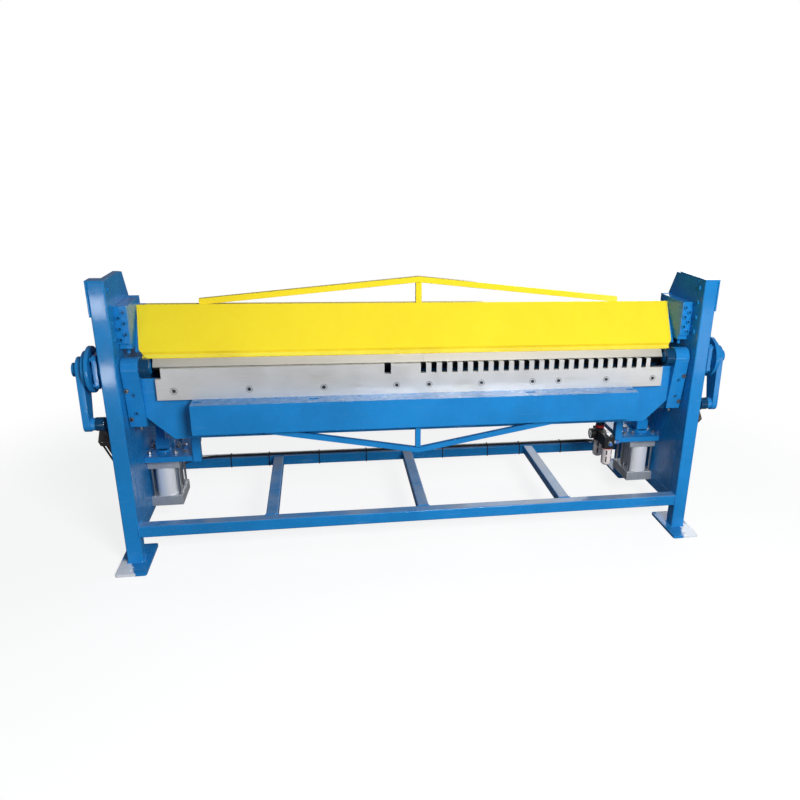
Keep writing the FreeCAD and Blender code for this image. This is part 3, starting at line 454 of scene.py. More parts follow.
def enamel(name, colour, primer_and_glint, dust, scratches=0.35, chips=0.5, cloudy=1.0, patches=9.0):
    """Enamel with cloudy depth, scratches, dust on its tops and bare metal on worn edges. On the
    rails the dust on the tops is mostly a painted sheen, and on the blue enamel the pale colour on
    the edges is a painted highlight.
    """
    paint = settings("paint")
    material, tree, shader = new_material(name, Specular_IOR_Level=0.12, Coat_Weight=0.35,
                                          Coat_Roughness=0.09)
    place = object_place(tree)
    clouds = span(noise(place, 3.2, 5.0, 0.6), 0.3, 0.7)
    specks = span(noise(place, 340.0, 2.0), 0.68, 0.8, 0.0, 0.25)
    marks = place_effect(tree, "Scuffs", Scratches=scratches, Chips=chips)
    # On the rails this mask lays mostly a painted sheen
    dusty = place_effect(tree, "Dust", Amount=dust, Scale=patches)["Mask"]
    # On the blue enamel the worn edges take a painted highlight
    worn = place_effect(tree, "Edge wear", Amount=paint.wear)["Mask"]
    # Darkens the inside of screw sockets as painted shade
    socket_shade = place_effect(tree, "Socket grime")["Mask"]
    base = mixed(clouds, toned(colour, 1 - 0.14 * cloudy), toned(colour, 1 + 0.09 * cloudy))
    feed(shader.inputs["Base Color"], covered(base, [
        (specks, toned(colour, 0.6)), (marks["Lines"], toned(colour, 0.6, 0.26)),
        (marks["Spots"], primer_and_glint), (dusty, DUST_AND_SHEEN_GREY), (worn, primer_and_glint), (socket_shade, ENAMEL_SOCKET_SHADE)]))
    rough = span(noise(place, 22.0, 4.0), 0.2, 0.8, paint.gloss - 0.07, paint.gloss + 0.09)
    feed(shader.inputs["Roughness"], plus(rough, times(dusty, 0.3)))
    bump(shader, place_effect(tree, "Spray ripple")["Height"], 0.10, 0.0004)
    return material


def enamel_with_painted_glare(name, colour, **given):
    """Enamel with a painted glare, white in specks, on the outer halves of the front foot plates.
    """
    material = enamel(name, colour, **given)
    place = object_place(material.node_tree)
    parts = split(place)
    across = minus(distance(parts["X"]), times(plus(parts["Y"], 0.44), 0.35))
    ragged = times(noise(place, 60.0, 8.0, 0.75), 0.05)
    # The white laid on the outer halves is a painted reflection of light
    rubbed = span(plus(across, ragged), 1.220, 1.226, 0.0, 0.95)
    specks = span(noise(place, 190.0, 4.0, 0.7), 0.62, 0.66, 1.0, 0.35)
    front = span(parts["Y"], -0.37, -0.33, 1.0, 0.0)
    return cover(material, times(times(rubbed, specks), front), FOOT_GLARE_WHITE)


def metal(name, colour, stretch, roughness, contrast, mottling=6.0, lines_depth=0.12,
          metallic=1.0, cloud_depth=0.2):
    """Bare metal with grinding lines, cloudy tone and rubbed bright edges."""
    material, tree, shader = new_material(name, Metallic=metallic)
    grain = place_effect(tree, "Ground grain", Stretch=stretch, Mottling=mottling)
    lines = span(grain["Lines"], 0.25, 0.75)
    clouds = span(grain["Clouds"], 0.3, 0.7)
    worn = place_effect(tree, "Edge wear", Amount=0.75)["Mask"]
    marks = place_effect(tree, "Scuffs", Scratches=0.3, Chips=0.25)
    # Darkens the inside of screw sockets as painted shade
    socket_shade = place_effect(tree, "Socket grime")["Mask"]
    tone = mixed(lines, toned(colour, 1 - contrast), toned(colour, 1 + contrast))
    shade = mixed(0.5, tone, toned(colour, 1 - 2 * cloud_depth))
    feed(shader.inputs["Base Color"], covered(tone, [
        (clouds, shade), (worn, toned(colour, 1.3)), (marks["Lines"], toned(colour, 0.6)),
        (marks["Spots"], toned(colour, 0.4)), (socket_shade, METAL_SOCKET_SHADE)]))
    rough = plus(times(clouds, 0.14), times(lines, 0.08))
    feed(shader.inputs["Roughness"], plus(rough, roughness - 0.11))
    bump(shader, grain["Lines"], lines_depth, 0.0002)
    return material


def stained_metal(name, colour, **given):
    """Bare metal with broad stains of old oil."""
    material = metal(name, colour, **given)
    place = object_place(material.node_tree, (3.0, 6.0, 14.0))
    return cover(material, span(noise(place, 1.0, 6.0, 0.65), 0.5, 0.72, 0.0, 0.45), OIL_STAIN)


def plastic(name, colour, roughness, scale=420.0):
    """Moulded plastic with a fine grained skin and faint dust."""
    material, tree, shader = new_material(name, Specular_IOR_Level=0.3)
    place = object_place(tree)
    skin = noise(place, scale, 3.0, 0.6)
    dusty = place_effect(tree, "Dust", Amount=0.12, Scale=40.0)["Mask"]
    worn = place_effect(tree, "Edge wear", Amount=0.3, Scale=200.0)["Mask"]
    tone = mixed(span(noise(place, 30.0, 4.0), 0.3, 0.7), toned(colour, 0.8),
                 toned(colour, 1.18))
    feed(shader.inputs["Base Color"],
         covered(tone, [(dusty, PLASTIC_DUST), (worn, toned(colour, 1.6, 0.02))]))
    feed(shader.inputs["Roughness"], span(skin, 0.2, 0.8, roughness - 0.06, roughness + 0.08))
    bump(shader, skin, 0.12, 0.0003)
    return material


def clear_glass(name, colour):
    """Clear glass with a faint waviness."""
    material, tree, shader = new_material(name, Transmission_Weight=1.0, IOR=1.45,
                                          Base_Color=colour)
    waves = noise(object_place(tree), 60.0, 2.0)
    feed(shader.inputs["Roughness"], span(waves, 0.2, 0.8, 0.01, 0.05))
    bump(shader, waves, 0.05, 0.0001)
    return material


def makers():
    """What makes the material of each finish."""
    paint = settings("paint")
    metals = settings("metal")
    blue = tuple(paint.blue)
    along_x = (6.0, 700.0, 700.0)
    fresh = {"dust": 0.05, "scratches": 0.1, "chips": 0.1}
    return {
        # The blue's pale edge colour is a painted highlight along its edges
        "blue": partial(enamel, "Blue enamel", blue, BLUE_EDGE_GLINT_AND_CHIPS, paint.dust),
        # On the rails the dust mask mostly lays a painted sheen on the tops
        "rail": partial(enamel, "Rail enamel", blue, BARE_STEEL, paint.rail_dust_and_sheen,
                        scratches=0.8, chips=0.8, patches=2.6),
        "foot": partial(enamel_with_painted_glare, "Foot enamel", blue, primer_and_glint=BARE_STEEL,
                        dust=paint.dust, scratches=0.9),
        # Dark blue: painted shade on the lower beam's front and the arms' hubs, and the dark paint
        # of the rods' eyes
        "dark blue": partial(enamel, "Dark enamel and painted shade", toned(blue, 0.22),
                             (0.12, 0.13, 0.15), 0.03),
        "yellow": partial(enamel, "Yellow enamel", tuple(paint.yellow), YELLOW_PRIMER,
                          paint.dust * 0.4, scratches=0.10, chips=0.1, cloudy=0.3),
        # Lighter and darker yellows for painted highlight and painted shade at the panel's folds
        "highlight yellow": partial(enamel, "Painted highlight yellow", (1.0, 0.81, 0.075),
                               YELLOW_PRIMER, **fresh),
        "crease shade yellow": partial(enamel, "Painted crease shade yellow", (0.90, 0.67, 0.022), (0.45, 0.34, 0.05),
                         **fresh),
        "jaw": partial(stained_metal, "Ground jaw steel", tuple(metals.jaw), stretch=along_x,
                       roughness=0.44, contrast=0.08, metallic=0.6, cloud_depth=0.07),
        "upper jaw": partial(metal, "Upper jaw steel", (0.69, 0.655, 0.575), along_x, 0.46,
                             0.07, metallic=0.6, cloud_depth=0.08),
        "zinc": partial(metal, "Zinc plate", tuple(metals.zinc), (400.0,) * 3, 0.34, 0.12,
                        mottling=90.0),
        # Black steel: the lower jaw, and also painted shade in the blades' notches, behind the
        # blades and round the screw seats
        "black steel and painted shade": partial(metal, "Blackened steel and painted shade", (0.035, 0.037, 0.04), (60.0,) * 3,
                               0.5, 0.3, mottling=20.0),
        "alloy": partial(metal, "Cylinder alloy", tuple(metals.alloy), (160.0, 160.0, 8.0),
                         0.38, 0.03, mottling=12.0, lines_depth=0.04, metallic=0.25,
                         cloud_depth=0.04),
        "chrome": partial(metal, "Chromed rod steel", tuple(metals.chrome), (300.0,) * 3,
                          0.16, 0.04, mottling=20.0, lines_depth=0.03),
        "dark alloy": partial(metal, "Weathered alloy", (0.24, 0.21, 0.185), (90.0,) * 3,
                              0.46, 0.35, mottling=28.0),
        "cap": partial(metal, "Cap alloy", (0.60, 0.63, 0.66), (160.0,) * 3, 0.44, 0.10,
                       mottling=18.0, metallic=0.6),
        "black": partial(plastic, "Black plastic", (0.018, 0.018, 0.020), 0.42),
        "red": partial(plastic, "Red collar plastic", (0.48, 0.022, 0.025), 0.36),
        "blue fitting": partial(plastic, "Blue fitting plastic", (0.05, 0.16, 0.42), 0.34),
        "tie": partial(plastic, "Tie plastic", (0.012, 0.012, 0.014), 0.5),
        "dial": partial(plastic, "Dial paint", (0.80, 0.81, 0.82), 0.5, 700.0),
        "hose": partial(plastic, "Hose rubber", (0.62, 0.64, 0.66), 0.38, 260.0),
        "guard": partial(plastic, "Bowl guard", (0.70, 0.64, 0.63), 0.44, 240.0),
        "glass": partial(clear_glass, "Gauge glass", (0.96, 0.98, 1.0)),
    }


finishes = {}


def finish(name):
    """The material of a finish, made when it is first asked for."""
    if name not in finishes:
        finishes[name] = makers()[name]()
    return finishes[name]


# Pieces from the frame's nodes

def both_sides(name):
    return ["left_" + name, "right_" + name]


def corners_of(node):
    """Lowest and highest corner of a node's box."""
    low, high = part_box(node)
    return Vector(low), Vector(high)


def body_of(node):
    return frame["nodes"][node]["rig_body"]


def stand_in(piece, node):
    """Puts a piece in a node's place, hiding the node."""
    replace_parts(piece, node)


def round_edges(build, width):
    """Rounds the sharp edges and marks the rounded strips for the wear on them, and on the blue
    enamel for a painted highlight.
    """
    edges = settings("edges")
    marks = build.loops.layers.float.new("edge")
    sharp = [e for e in build.edges
             if len(e.link_faces) == 2 and e.calc_face_angle(0.0) > edges.sharp]
    made = bmesh.ops.bevel(build, geom=sharp, offset=width, offset_type="OFFSET",
                           segments=edges.segments, profile=0.5, affect="EDGES",
                           clamp_overlap=True)
    for face in made["faces"]:
        for corner in face.loops:
            corner[marks] = 1.0


def placed(name, data):
    """A new object in the scene."""
    thing = bpy.data.objects.new(name, data)
    bpy.context.scene.collection.objects.link(thing)
    return thing


def plain_mesh(thing):
    """The mesh of an object with its modifiers applied, or of a text."""
    graph = bpy.context.evaluated_depsgraph_get()
    return bpy.data.meshes.new_from_object(thing.evaluated_get(graph))


def add_piece(name, mesh, body):
    """An object for a finished mesh, riding on a body."""
    piece = placed(name, mesh)
    mesh.shade_smooth()
    mesh.set_sharp_from_angle(angle=SMOOTH_UP_TO)
    piece.modifiers.new("Flat faces stay flat", "WEIGHTED_NORMAL").keep_sharp = True
    piece.data = plain_mesh(piece)
    piece.modifiers.clear()
    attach(piece, body)
    return piece


def new_piece(name, build, materials, body):
    """A piece from a finished bmesh."""
    mesh = bpy.data.meshes.new(name)
    build.to_mesh(mesh)
    build.free()
    for material in materials:
        mesh.materials.append(finish(material))
    return add_piece(name, mesh, body)


def merged_copy(node):
    """A node's mesh with its corners merged."""
    build = bmesh.new()
    build.from_mesh(frame["nodes"][node].data)
    bmesh.ops.remove_doubles(build, verts=build.verts, dist=MERGE_WITHIN)
    return build


def part_boxes(node):
    """Lowest and highest corner of each separate shell of a node."""
    build = merged_copy(node)
    boxes = []
    met = set()
    for start in build.verts:
        if start in met:
            continue
        met.add(start)
        part = [start]
        for corner in part:
            for edge in corner.link_edges:
                other = edge.other_vert(corner)
                if other not in met:
                    met.add(other)
                    part.append(other)
        boxes.append([Vector(pick(v.co[i] for v in part) for i in range(3))
                      for pick in (min, max)])
    build.free()
    return boxes


def dress(material, *nodes, width=None, other=None, is_other=None):
    """Stands a copy of each node, with merged faces and rounded edges, in the node's place.

    The faces whose middle and normal pass is_other get the other material.
    """
    for node in nodes:
        build = merged_copy(node)
        bmesh.ops.dissolve_limit(build, angle_limit=SAME_PLANE, verts=build.verts,
                                 edges=build.edges)
        if other:
            for face in build.faces:
                face.material_index = int(is_other(face.calc_center_median(), face.normal))
        round_edges(build, settings("edges").width if width is None else width)
        piece = new_piece(node + "_finished", build, [material, other] if other else [material],
                          body_of(node))
        stand_in(piece, node)


# Repeated small pieces, made by Geometry Nodes

forms = {}


def form(name, sizes):
    """Keeps a function that fills the Geometry Nodes tree of a form."""
    def keep(fill):
        forms[name] = (fill, sizes)
        return fill
    return keep


def form_tree(name):
    """The tree of a form, made when it is first asked for; all end the same way."""
    if name not in bpy.data.node_groups:
        fill, sizes = forms[name]
        tree, given, result = new_tree(
            name, "GeometryNodeTree", {**GEOMETRY, **sizes, "Finish": "NodeSocketMaterial"},
            GEOMETRY)
        real = put(tree, "GeometryNodeRealizeInstances", {"Geometry": fill(tree, given)})
        done = put(tree, "GeometryNodeSetMaterial",
                   {"Geometry": real.outputs[0], "Material": given["Finish"]})
        feed(result["Geometry"], done.outputs[0])
    return bpy.data.node_groups[name]


def upright(height):
    """A vector of a given height."""
    return put(height.id_data, "ShaderNodeCombineXYZ", {"Z": height}).outputs[0]


def raised(geometry, height):
    return put(height.id_data, "GeometryNodeTransform",
               {"Geometry": geometry, "Translation": upright(height)}).outputs[0]


def shifted(geometry, chosen, offset):
    """A geometry with some of its points moved."""
    return put(offset.id_data, "GeometryNodeSetPosition",
               {"Geometry": geometry, "Selection": chosen, "Offset": offset}).outputs[0]


def rod(corners, radius, length, **more):
    """A cylinder of the given number of corners round the Z axis."""
    return put(length.id_data, "GeometryNodeMeshCylinder",
               {"Vertices": corners, "Radius": radius, "Depth": length, **more}).outputs["Mesh"]


def on_aimed_points(tree, given, shape):
    """The shape on every point, turned to the point's aim and by a chance angle round it."""
    aim = put(tree, "GeometryNodeInputNamedAttribute", {"Name": "aim"},
              data_type="FLOAT_VECTOR").outputs["Attribute"]
    facing = put(tree, "FunctionNodeAlignRotationToVector", {"Vector": aim}, axis="Z")
    chance = put(tree, "FunctionNodeRandomValue", {3: WHOLE_TURN, "Seed": 7},
                 data_type="FLOAT").outputs[1]
    spin = put(tree, "FunctionNodeAxisAngleToRotation", {"Axis": (0, 0, 1), "Angle": chance})
    turned_to = put(tree, "FunctionNodeRotateRotation",
                    {"Rotation": facing.outputs[0], "Rotate By": spin.outputs[0]},
                    rotation_space="LOCAL").outputs[0]
    return put(tree, "GeometryNodeInstanceOnPoints",
               {"Points": given["Geometry"], "Instance": shape,
                "Rotation": turned_to}).outputs[0]


@form("Cap screws",
      {"Radius": 0.009, "Height": 0.02, "Chamfer": 0.001, "Socket": 0.005, "Depth": 0.005})
def cap_screws(tree, given):
    """Cap screws: chamfered heads with a hexagon socket."""
    half = times(given["Height"], 0.5)
    head = rod(24, given["Radius"], given["Height"], **{"Side Segments": 2})
    place = put(tree, "GeometryNodeInputPosition").outputs[0]
    level = divided(split(place)["Z"], half)
    shrink = divided(times(given["Chamfer"], -1.0), given["Radius"])
    inward = put(tree, "ShaderNodeCombineXYZ", {"X": shrink, "Y": shrink}).outputs[0]
    head = shifted(head, arithmetic("GREATER_THAN", level, 0.5),
                   vector_math("MULTIPLY", place, inward)[0])
    head = shifted(head, less(distance(level), 0.5), upright(minus(half, given["Chamfer"])))
    prism = raised(rod(6, given["Socket"], times(given["Depth"], 2.0)), half)
    head = put(tree, "GeometryNodeMeshBoolean", {"Mesh 1": head, "Mesh 2": prism}).outputs[0]
    level_place = vector_math("MULTIPLY", place, (1, 1, 0))[0]
    aside = vector_math("LENGTH", level_place)["Value"]
    within = less(aside, times(given["Socket"], 0.97))
    between = less(distance(level), 0.98)
    # Marks the socket's faces, which the materials darken as painted shade
    head = put(tree, "GeometryNodeStoreNamedAttribute",
               {"Geometry": head, "Name": "socket", "Value": times(within, between)},
               data_type="FLOAT", domain="FACE").outputs[0]
    return on_aimed_points(tree, given, raised(head, half))


@form("Rod nuts", {"Radius": 0.0085, "Height": 0.008, "Washer": 0.0105, "Thickness": 0.0015,
                   "Rod": 0.005, "Rod end": 0.004})
def rod_nuts(tree, given):
    """Nuts with their washers and the ends of the rods that they hold."""
    join = put(tree, "GeometryNodeJoinGeometry")
    foot = None
    for corners, radius, length in ((24, "Washer", "Thickness"), (6, "Radius", "Height"),
                                    (16, "Rod", "Rod end")):
        half = times(given[length], 0.5)
        middle = plus(foot, half) if foot else half
        feed(join.inputs[0], raised(rod(corners, given[radius], given[length]), middle))
        foot = plus(middle, half)
    return on_aimed_points(tree, given, join.outputs[0])


@form("Weld bead", {"Radius": 0.0036, "Pitch": 0.0034})
def weld_bead(tree, given):
    """Overlapping drops of a weld bead along the holder's edges."""
    path = put(tree, "GeometryNodeMeshToCurve", {"Mesh": given["Geometry"]}).outputs[0]
    path = put(tree, "GeometryNodeResampleCurve", {"Curve": path, "Length": given["Pitch"]},
               mode="LENGTH").outputs[0]
    drop = put(tree, "GeometryNodeMeshUVSphere",
               {"Segments": 8, "Rings": 5, "Radius": given["Radius"]}).outputs["Mesh"]
    size = put(tree, "FunctionNodeRandomValue", {2: 0.82, 3: 1.12, "Seed": 3},
               data_type="FLOAT").outputs[1]
    return put(tree, "GeometryNodeInstanceOnPoints",
               {"Points": path, "Instance": drop, "Scale": size}).outputs[0]


@form("Ring of bars", {"Count": 24, "Shown": 24, "Radius": 0.02, "Bar": (0.001, 0.001, 0.01)})
def ring_of_bars(tree, given):
    """Bars standing in a ring, the first few of them shown."""
    ring = put(tree, "GeometryNodeMeshCircle",
               {"Vertices": given["Count"], "Radius": given["Radius"]}).outputs[0]
    number = put(tree, "GeometryNodeInputIndex").outputs[0]
    place = put(tree, "GeometryNodeInputPosition").outputs[0]
    facing = put(tree, "FunctionNodeAlignRotationToVector", {"Vector": place}, axis="X",
                 pivot_axis="Z").outputs[0]
    bar = put(tree, "GeometryNodeMeshCube", {"Size": given["Bar"]}).outputs["Mesh"]
    return put(tree, "GeometryNodeInstanceOnPoints",
               {"Points": ring, "Instance": bar, "Rotation": facing,
                "Selection": less(number, given["Shown"])}).outputs[0]


def grown(name, form_name, holder_mesh, material, body, place=None, **sizes):
    """The plain mesh that a form makes on a holder, as a piece on a body."""
    holder = placed(name + "_holder", holder_mesh)
    modifier = holder.modifiers.new("Form", "NODES")
    modifier.node_group = form_tree(form_name)
    values = {**sizes, "Finish": finish(material)}
    for item in modifier.node_group.interface.items_tree:
        if item.in_out == "INPUT" and item.name in values:
            modifier[item.identifier] = values[item.name]
    mesh = plain_mesh(holder)
    mesh.name = name
    bpy.data.objects.remove(holder)
    if place is not None:
        mesh.transform(place)
    return add_piece(name, mesh, body)


def bars(name, body, place, count, shown, radius, bar):
    """A ring of black bars."""
    grown(name, "Ring of bars", bpy.data.meshes.new("none"), "black", body, place,
          Count=count, Shown=shown, Radius=radius, Bar=bar)


def points_mesh(rows):
    """Bare points, each with the way that its piece faces, from rows of place and aim."""
    mesh = bpy.data.meshes.new("points")
    mesh.from_pydata([row[0] for row in rows], [], [])
    facing = mesh.attributes.new("aim", "FLOAT_VECTOR", "POINT")
    for item, row in zip(facing.data, rows):
        item.vector = row[1]
    return mesh


def screw_rows(node, axis):
    """Foot, aim and radius of every screw of a node whose screws lie along an axis."""
    head = settings("screws").head
    rows = []
    for low, high in part_boxes(node):
        outward = -1 if axis == 1 or low.x < 0 else 1
        aim = Vector((0, 0, 0))
        aim[axis] = outward
        tip = (low + high) / 2
        tip[axis] = high[axis] if outward > 0 else low[axis]
        rows.append((tip - aim * head, aim, (high.z - low.z) / 2))
    return rows


def screw(node, name, rows, material, socket_size=1.0):
    """Cap screws at the places of a node's screws."""
    sizes = settings("screws")
    stand_in(grown(name, "Cap screws", points_mesh(rows), material, body_of(node),
                   Radius=rows[0][2], Height=sizes.head, Chamfer=sizes.chamfer,
                   Socket=sizes.socket * socket_size, Depth=sizes.socket_depth), node)


# Turned and flat small pieces

def step(x, y, z):
    """A distance that is written in millimetres."""
    return Vector((x, y, z)) / 1000


def mm(x, y, z):
    """A place that is written in millimetres from the fronts of the posts."""
    return step(x, y, z) + TO_FRAME


def turned(build, foot, forward, profile, steps=32, hollow=False):
    """A closed turned shape: rows of radius and distance, in millimetres, along a direction.

    A hollow one closes from its last row back to its first, as a ring does.
    """
    forward = Vector(forward).normalized()
    side = forward.cross((0, 0, 1) if abs(forward.z) < 0.9 else (0, 1, 0)).normalized()
    up = forward.cross(side)
    rings = []
    for radius, along in profile:
        middle = foot + forward * along / 1000
        rings.append([build.verts.new(
            middle + (side * math.cos(WHOLE_TURN * k / steps)
                      + up * math.sin(WHOLE_TURN * k / steps)) * radius / 1000)
            for k in range(steps)])
    for low, high in zip(rings, rings[1:] + rings[:1] if hollow else rings[1:]):
        for k in range(steps):
            after = (k + 1) % steps
            build.faces.new((low[k], low[after], high[after], high[k]))
    if not hollow:
        build.faces.new(list(reversed(rings[0])))
        build.faces.new(rings[-1])


def slab(build, corners, outward, thickness):
    """A thin plate on four corners."""
    lift = outward.normalized() * thickness
    foot = [build.verts.new(corner - lift) for corner in corners]
    head = [build.verts.new(corner + lift) for corner in corners]
    build.faces.new(foot)
    build.faces.new(list(reversed(head)))
    for k in range(4):
        after = (k + 1) % 4
        build.faces.new((foot[k], head[k], head[after], foot[after]))


def block_between(build, low, high, chamfer):
    """A block between two corners with its edges chamfered."""
    made = bmesh.ops.create_cube(build, size=1.0)
    middle = (low + high) / 2
    size = high - low
    for corner in made["verts"]:
        corner.co = Vector(corner.co[i] * size[i] for i in range(3)) + middle
    edges = dict.fromkeys(edge for corner in made["verts"] for edge in corner.link_edges)
    bmesh.ops.bevel(build, geom=list(edges), offset=chamfer, segments=2, profile=0.5,
                    affect="EDGES", clamp_overlap=True)


def closed_piece(name, build, material, body):
    """A piece from closed shells whose faces are turned outwards."""
    bmesh.ops.recalc_face_normals(build, faces=build.faces)
    return new_piece(name, build, [material], body)


def turned_piece(name, material, body, rows):
    """A piece of turned shapes, from what each row gives for one."""
    build = bmesh.new()
    for row in rows:
        turned(build, *row)
    return closed_piece(name, build, material, body)


# Operators

class DressPosts(bpy.types.Operator):
    """Finish the posts and the hoods over their heads"""
    bl_idname = "folder.posts"
    bl_label = "Posts and hoods"

    def execute(self, context):
        dress("blue", *both_sides("post"), width=POST_EDGE)
        dress("blue", "top_covers")
        return {"FINISHED"}


class DressSideFrames(bpy.types.Operator):
    """Finish the side plates, side rails and rear legs"""
    bl_idname = "folder.side_frames"
    bl_label = "Side frames"

    def execute(self, context):
        for name in ("side_plate", "side_rail", "rear_leg"):
            dress("blue", *both_sides(name))
        return {"FINISHED"}


class DressRails(bpy.types.Operator):
    """Finish the two long rails, the crossbars and the foot plates"""
    bl_idname = "folder.rails"
    bl_label = "Rails and feet"

    def execute(self, context):
        dress("rail", "front_rail", "rear_rail", "crossbars")
        dress("foot", "front_feet", "rear_feet")
        return {"FINISHED"}


class DressBed(bpy.types.Operator):
    """Finish the lower beam and the bed jaw"""
    bl_idname = "folder.bed"
    bl_label = "Bed"

    def execute(self, context):
        # The lower beam's front faces get dark enamel as painted shade
        dress("blue", "lower_beam", other="dark blue",
              is_other=lambda middle, normal: normal.y < -FACING)
        dress("black steel and painted shade", "lower_jaw", width=JAW_EDGE)
        return {"FINISHED"}


class DressClampBeam(bpy.types.Operator):
    """Finish the clamp beam with its panel, truss and jaws"""
    bl_idname = "folder.clamp_beam"
    bl_label = "Clamp beam"

    def execute(self, context):
        dress("yellow", "clamp_beam", "clamp_panel", "clamp_truss")
        self.add_panel_edges()
        dress("upper jaw", *both_sides("upper_jaw"), width=JAW_EDGE)
        return {"FINISHED"}

    def add_panel_edges(self):
        """Painted highlight strips on the folded lip along the panel's foot and on the folded
        edges at its ends, and painted shade strips along the crease above the lip and beside the
        end edges
        """
        slope = Vector((0, -0.80, 0.59))
        pale = bmesh.new()
        dark = bmesh.new()
        slab(dark, [mm(-1100, 114.5, 864.6), mm(1100, 114.5, 864.6), mm(1105, 121, 872),
                    mm(-1105, 121, 872)], slope, 0.0009)
        slab(pale, [mm(-1088, 104, 853), mm(1088, 104, 853), mm(1098, 113.2, 863),
                    mm(-1098, 113.2, 863)], slope, 0.0012)
        for side in SIDES:
            for build, inset, width, depth in ((pale, 0.5, 5, 0.0010), (dark, 6.5, 2, 0.0004)):
                foot = mm(side * (1115.5 - inset), 127.5, 881)
                head = mm(side * (1129 - inset), 241, 1035)
                inward = step(side * width, 0, 0)
                slab(build, [foot, foot - inward, head - inward, head], slope, depth)
        closed_piece("panel_edge_highlights", pale, "highlight yellow", "clamp")
        closed_piece("panel_crease_shade", dark, "crease shade yellow", "clamp")


class DressSlides(bpy.types.Operator):
    """Finish the slide blocks, their guides and the pull bars"""
    bl_idname = "folder.slides"
    bl_label = "Slides"

    def execute(self, context):
        dress("blue", "slide_blocks", "clamp_guides", "pull_bars")
        return {"FINISHED"}


class DressClampCylinders(bpy.types.Operator):
    """Finish the upright cylinders with their plates and hangers"""
    bl_idname = "folder.clamp_cylinders"
    bl_label = "Clamp cylinders"

    def execute(self, context):
        dress("blue", "cylinder_plates", "hanger_tubes")
        dress("cap", "clamp_cylinder_caps")
        dress("alloy", "clamp_barrels")
        dress("zinc", "clamp_tie_rods", width=ROD_EDGE)
        dress("chrome", "clamp_pistons", width=ROD_EDGE)
        self.add_nuts()
        collar = [(22, 0), (32, 0), (32, 8), (29, 11), (24, 11), (22, 9)]
        turned_piece("rod_glands", "blue", "frame", [
            (mm(side * 1109, middle, PLATE_TOP), UP, collar, 40, True)
            for side in SIDES for middle in ROD_LINES])
        self.add_fittings()
        return {"FINISHED"}

    def add_nuts(self):
        """Nuts on the plates, at the tie rods"""
        plate_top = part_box("cylinder_plates")[1][2]
        rows = []
        for low, high in part_boxes("clamp_tie_rods"):
            foot = (low + high) / 2
            foot.z = plate_top
            rows.append((foot, UP))
        sizes = settings("screws")
        grown("tie_rod_nuts", "Rod nuts", points_mesh(rows), "zinc", "frame",
              Radius=sizes.nut, Height=sizes.nut_height)

    def add_fittings(self):
        """Elbow fittings that stand on the cylinder plates"""
        bodies = []
        collars = []
        for side in SIDES:
            foot = mm(side * 1016, 292, PLATE_TOP)
            forward = (-side * 0.5, -1, 0)
            bodies += [
                (foot, UP, [(13, 0), (13, 9), (9, 10), (9, 20)], 6),
                (foot + step(0, 0, 18), UP, [(10.5, 0), (11, 2), (11, 17), (8, 20)]),
                (foot + step(0, 0, 27), forward, [(8, 0), (8.5, 8), (8.5, 20), (7, 21)])]
            collars.append((foot + step(-side * 8, -16, 27), forward,
                            [(9.5, 0), (10, 2), (10, 6), (8, 8)]))
        turned_piece("plate_fittings", "zinc", "frame", bodies)
        turned_piece("plate_fitting_collars", "blue fitting", "frame", collars)


class DressApron(bpy.types.Operator):
    """Finish the apron plate, its box and the strut frame"""
    bl_idname = "folder.apron"
    bl_label = "Apron"

    def execute(self, context):
        # The apron plate above this height, seen behind the blades, is painted black as painted
        # shade
        painted_shade_from = 0.770
        dress("blue", "apron_plate", other="black steel and painted shade",
              is_other=lambda middle, normal: middle.z > painted_shade_from)
        dress("blue", "apron_box", "apron_truss")
        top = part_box("left_blade")[1][2]
        notch_depth = 0.036
        near = 0.002
        ends = [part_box(name)[side][0] for name in BLADES for side in (0, 1)]

        def in_notch(middle, normal):
            """Whether a face is a wall or the foot of a notch, which is painted black as painted
            shade
            """
            at_end = any(abs(middle.x - end) < near for end in ends)
            wall = abs(normal.x) > FACING and not at_end
            foot = normal.z > FACING and middle.z < top - 2 * near
            return middle.z > top - notch_depth and (wall or foot)

        dress("jaw", *BLADES, width=JAW_EDGE, other="black steel and painted shade", is_other=in_notch)
        return {"FINISHED"}


class DressArms(bpy.types.Operator):
    """Finish the apron arms and cranks with the pivots that they turn on"""
    bl_idname = "folder.arms"
    bl_label = "Arms and pivots"

    def execute(self, context):
        hub_width = 0.0635
        hub_outside = -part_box("left_fold_arm")[0][0] - hub_width
        hub_back = -0.262
        # The hubs' inner faces get dark enamel as painted shade
        dress("blue", *both_sides("fold_arm"), other="dark blue",
              is_other=lambda middle, normal: abs(middle.x) < hub_outside
              and middle.y < hub_back)
        dress("blue", *both_sides("pivot_bearing"), "pivot_shafts", "crank_arms")
        return {"FINISHED"}


class DressFoldingCylinders(bpy.types.Operator):
    """Finish the leaning cylinders, their rods and brackets"""
    bl_idname = "folder.folding_cylinders"
    bl_label = "Folding cylinders"

    def execute(self, context):
        eye_foot = 0.55
        dress("dark alloy", *both_sides("fold_cylinder"))
        dress("chrome", *both_sides("fold_rod"), width=ROD_EDGE, other="dark blue",
              is_other=lambda middle, normal: middle.z > eye_foot)
        dress("blue", "cylinder_brackets")
        dress("zinc", "cylinder_pins", width=ROD_EDGE)
        return {"FINISHED"}


